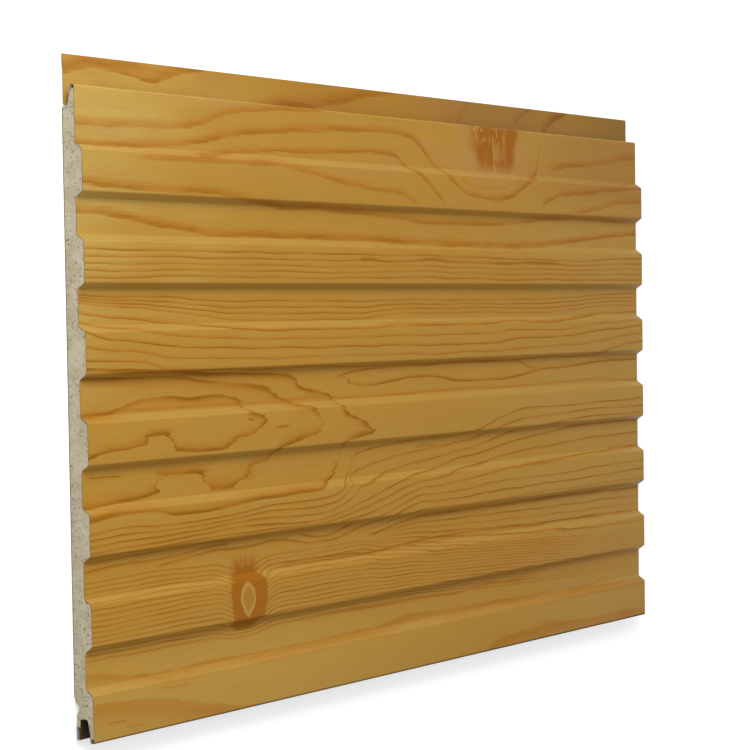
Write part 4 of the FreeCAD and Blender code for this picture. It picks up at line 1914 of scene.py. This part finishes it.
@dataclass
class FoamCore:
    """The foam block, with sawn ends.

    Attributes:
        size: the panel's sizes.
        row_step_mm: spacing of the sawn face's points across the panel.
        level_step_mm: their spacing up the section.
        saw_depth_mm: how far the saw tore the foam.
        pore_depth_mm: depth of its open pores.
        saw_grain: size of the tears, in metres.
        pore_grain: size of the pores.
        contrast: how sharply tears and pores are cut.
    """

    size: PanelSizes
    row_step_mm: float = 1.0
    level_step_mm: float = 0.8
    saw_depth_mm: float = 0.22
    pore_depth_mm: float = 0.30
    saw_grain: float = 0.006
    pore_grain: float = 0.0016
    contrast: float = 1.6

    def build(self) -> bpy.types.Object:
        """Form the block, close its ends and roughen them.

        Returns:
            The finished block.
        """
        strip = FormedStrip("sawn_foam_core", Section(self.size).foam(), self.size, True)
        piece = strip.build()
        end = self.size.length / 2 * MM
        bpy.ops.object.mode_set(mode="EDIT")
        for side in (-end, end):
            select_parts(piece, "EDGE", lambda edge, at=side: all(
                abs(vert.co.x - at) < SAME_LINE for vert in edge.verts))
            bpy.ops.mesh.edge_face_add()
        bpy.ops.mesh.select_all(action="SELECT")
        bpy.ops.mesh.normals_make_consistent(inside=False)
        self.divide_ends(piece)
        bpy.ops.object.mode_set(mode="OBJECT")
        self.roughen(piece, end)
        piece.data.materials.append(RIGID_FOAM.material(shared_mottle()))
        hand_over(piece, "foam_core")
        return piece

    def divide_ends(self, piece: bpy.types.Object) -> None:
        """Cut both end faces into a fine net.

        Args:
            piece: the foam block in edit mode.
        """
        half = self.size.overall_width / 2

        def cut(place: Vector, normal: Vector) -> None:
            """Bisect the end faces by a plane."""
            select_parts(piece, "FACE", lambda face: abs(face.normal.x) > 0.9)
            bpy.ops.mesh.bisect(plane_co=place, plane_no=normal)

        for index in range(1, int(self.size.thickness / self.level_step_mm)):
            level = (index + OFF_LEVEL) * self.level_step_mm
            cut(Vector((0, 0, level * MM)), Vector((0, 0, 1)))
        for index in range(1, int(self.size.overall_width / self.row_step_mm)):
            row = (index + OFF_ROW) * self.row_step_mm - half
            cut(Vector((0, row * MM, 0)), Vector((0, 1, 0)))

    def roughen(self, piece: bpy.types.Object, end: float) -> None:
        """Tear and pit the sawn ends, always inwards.

        Args:
            piece: the foam block.
            end: distance of the ends from the middle, in metres.
        """
        for name, side in (("left", -1.0), ("right", 1.0)):
            group = piece.vertex_groups.new(name=name)
            group.add([vert.index for vert in piece.data.vertices
                       if vert.co.x * side > end - SAME_END], 1.0, "REPLACE")
            for kind, scale, depth in (("tear", self.saw_grain, self.saw_depth_mm),
                                       ("pore", self.pore_grain, self.pore_depth_mm)):
                texture = bpy.data.textures.new(f"{kind}_{name}", "CLOUDS")
                texture.noise_scale = scale
                texture.noise_depth = 2
                texture.contrast = self.contrast
                push = piece.modifiers.new(f"{kind}_{name}", "DISPLACE")
                push.texture = texture
                push.texture_coords = "LOCAL"
                push.direction = "X"
                push.vertex_group = name
                push.mid_level = 0.0
                push.strength = -side * depth * MM
        apply_modifiers(piece)


@dataclass
class BackingFoil:
    """The foil over the back.

    Attributes:
        size: the panel's sizes.
        crease_mm: height of its creases.
        crease_grain: size of its creases, in metres.
        cuts: how often its length and its width are divided.
    """

    size: PanelSizes
    crease_mm: float = 0.04
    crease_grain: float = 0.018
    cuts: int = 95

    def build(self) -> bpy.types.Object:
        """Lay the foil, crease it and give it its thickness.

        Returns:
            The finished foil.
        """
        half = self.size.overall_width / 2
        low, high = self.size.back_edge - half, self.size.back_top - half
        deselect_all()
        bpy.ops.mesh.primitive_plane_add(size=1.0, location=(0, (low + high) / 2 * MM, 0))
        piece = bpy.context.object
        piece.name = "creased_backing_foil"
        piece.scale = (self.size.length * MM, (high - low) * MM, 1.0)
        place_here(piece)
        bpy.ops.object.mode_set(mode="EDIT")
        bpy.ops.mesh.select_all(action="SELECT")
        bpy.ops.mesh.subdivide(number_cuts=self.cuts)
        bpy.ops.object.mode_set(mode="OBJECT")
        texture = bpy.data.textures.new("foil_creases", "CLOUDS")
        texture.noise_scale = self.crease_grain
        texture.noise_depth = 2
        crease = piece.modifiers.new("creases", "DISPLACE")
        crease.texture = texture
        crease.texture_coords = "LOCAL"
        crease.direction = "Z"
        crease.mid_level = 0.0
        crease.strength = self.crease_mm * MM
        wall = piece.modifiers.new("wall", "SOLIDIFY")
        wall.thickness = (self.size.foil - self.crease_mm) * MM
        wall.offset = 1.0
        piece.data.materials.append(CREASED_FOIL.material(shared_mottle()))
        apply_modifiers(piece)
        bpy.ops.object.shade_smooth_by_angle(angle=SMOOTH_ANGLE)
        hand_over(piece, "backing_foil")
        return piece


# ---------------------------------------------------------------------------------------------
# Studio
# ---------------------------------------------------------------------------------------------
@dataclass(frozen=True)
class Lamp:
    """A soft square lamp.

    Attributes:
        name: the lamp's name.
        place: where it stands.
        target: what it points at.
        width: its side.
        watts: its power.
    """

    name: str
    place: Colour
    target: Colour
    width: float
    watts: float

    def build(self) -> None:
        """Hang the lamp."""
        deselect_all()
        bpy.ops.object.light_add(type="AREA", location=self.place)
        lamp = bpy.context.object
        lamp.name = self.name
        lamp.data.size = self.width
        lamp.data.energy = self.watts
        aim = Vector(self.target) - Vector(self.place)
        lamp.rotation_euler = aim.to_track_quat("-Z", "Y").to_euler()


@dataclass(frozen=True)
class Studio:
    """Pale floor, soft lamps and the camera that looks down on the panel.

    Attributes:
        eye: where the camera stands, in metres.
        right: direction of its frame's right side.
        up: direction of its frame's upper side.
        back: direction that it looks away from.
        lens: focal length, in millimetres.
        shift_up: upward shift of the lens, as a share of the frame.
        floor_width: side of the floor, in metres.
        floor_shade: the floor's own shade.
        floor_glow: how much the floor is brightened where it is seen.
        sky: brightness of the sky as a light.
        lamps: the soft lamps.
    """

    eye: Colour = (-1.31475, 0.0500, 0.94856)
    right: Colour = (0.59130, -0.01467, 0.80632)
    up: Colour = (0.04805, 0.99870, -0.01707)
    back: Colour = (-0.80502, 0.04883, 0.59123)
    lens: float = 107.9
    shift_up: float = 0.063
    floor_width: float = 12.0
    floor_shade: Colour = (0.82, 0.82, 0.82)
    floor_glow: float = 0.50
    sky: float = 0.48
    lamps: tuple[Lamp, ...] = (
        Lamp("key", (-0.9, 1.10, 1.02), (-0.1, 0.0, 0.0), 0.8, 21.0),
        Lamp("fill", (-2.4, 0.5, 0.8), (-0.3, 0.0, 0.0), 1.2, 5.0),
    )

    def build(self) -> None:
        """Lay the floor, hang the lamps and stand the camera."""
        self.floor()
        for lamp in self.lamps:
            lamp.build()
        self.camera()
        self.world()
        bpy.context.scene.view_settings.view_transform = "Standard"

    def floor(self) -> None:
        """A wide floor that shows white and keeps the panel's shadow."""
        deselect_all()
        bpy.ops.mesh.primitive_plane_add(size=self.floor_width, location=(0, 0, 0))
        floor = bpy.context.object
        floor.name = "studio_floor"
        material, graph, shader = new_material("pale_floor")
        shader.inputs["Base Color"].default_value = (*self.floor_shade, 1.0)
        shader.inputs["Roughness"].default_value = 0.9
        shader.inputs["Specular IOR Level"].default_value = 0.0
        path = graph.add("ShaderNodeLightPath")
        seen = graph.largest(*(path.outputs[name] for name in (
            "Is Camera Ray", "Is Glossy Ray", "Is Transmission Ray")))
        shader.inputs["Emission Color"].default_value = WHITE
        graph.feed(shader.inputs["Emission Strength"], graph.times(seen, self.floor_glow))
        floor.data.materials.append(material)

    def camera(self) -> None:
        """The camera, with the flange towards the top of its frame."""
        deselect_all()
        bpy.ops.object.camera_add(location=self.eye)
        camera = bpy.context.object
        camera.name = "camera"
        turn = Matrix((self.right, self.up, self.back)).transposed()
        camera.rotation_euler = turn.to_euler()
        camera.data.lens = self.lens
        camera.data.shift_y = self.shift_up
        bpy.context.scene.camera = camera

    def world(self) -> None:
        """An even sky."""
        world = bpy.data.worlds.new("studio")
        world.use_nodes = True
        bpy.context.scene.world = world
        graph = Graph(world.node_tree)
        ground = world.node_tree.nodes["Background"]
        ground.inputs["Color"].default_value = WHITE
        path = graph.add("ShaderNodeLightPath")
        seen = path.outputs["Is Camera Ray"]
        graph.feed(ground.inputs["Strength"], graph.plus(
            graph.times(seen, 1.0 - self.sky), self.sky))


def main() -> None:
    """Build the panel and its studio."""
    logging.basicConfig(level=logging.INFO, format="%(name)s: %(message)s")
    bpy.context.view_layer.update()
    size = PanelSizes()
    FaceSheet(size).build()
    FoamCore(size).build()
    BackingFoil(size).build()
    Studio().build()


if __name__ == "__main__":
    main()
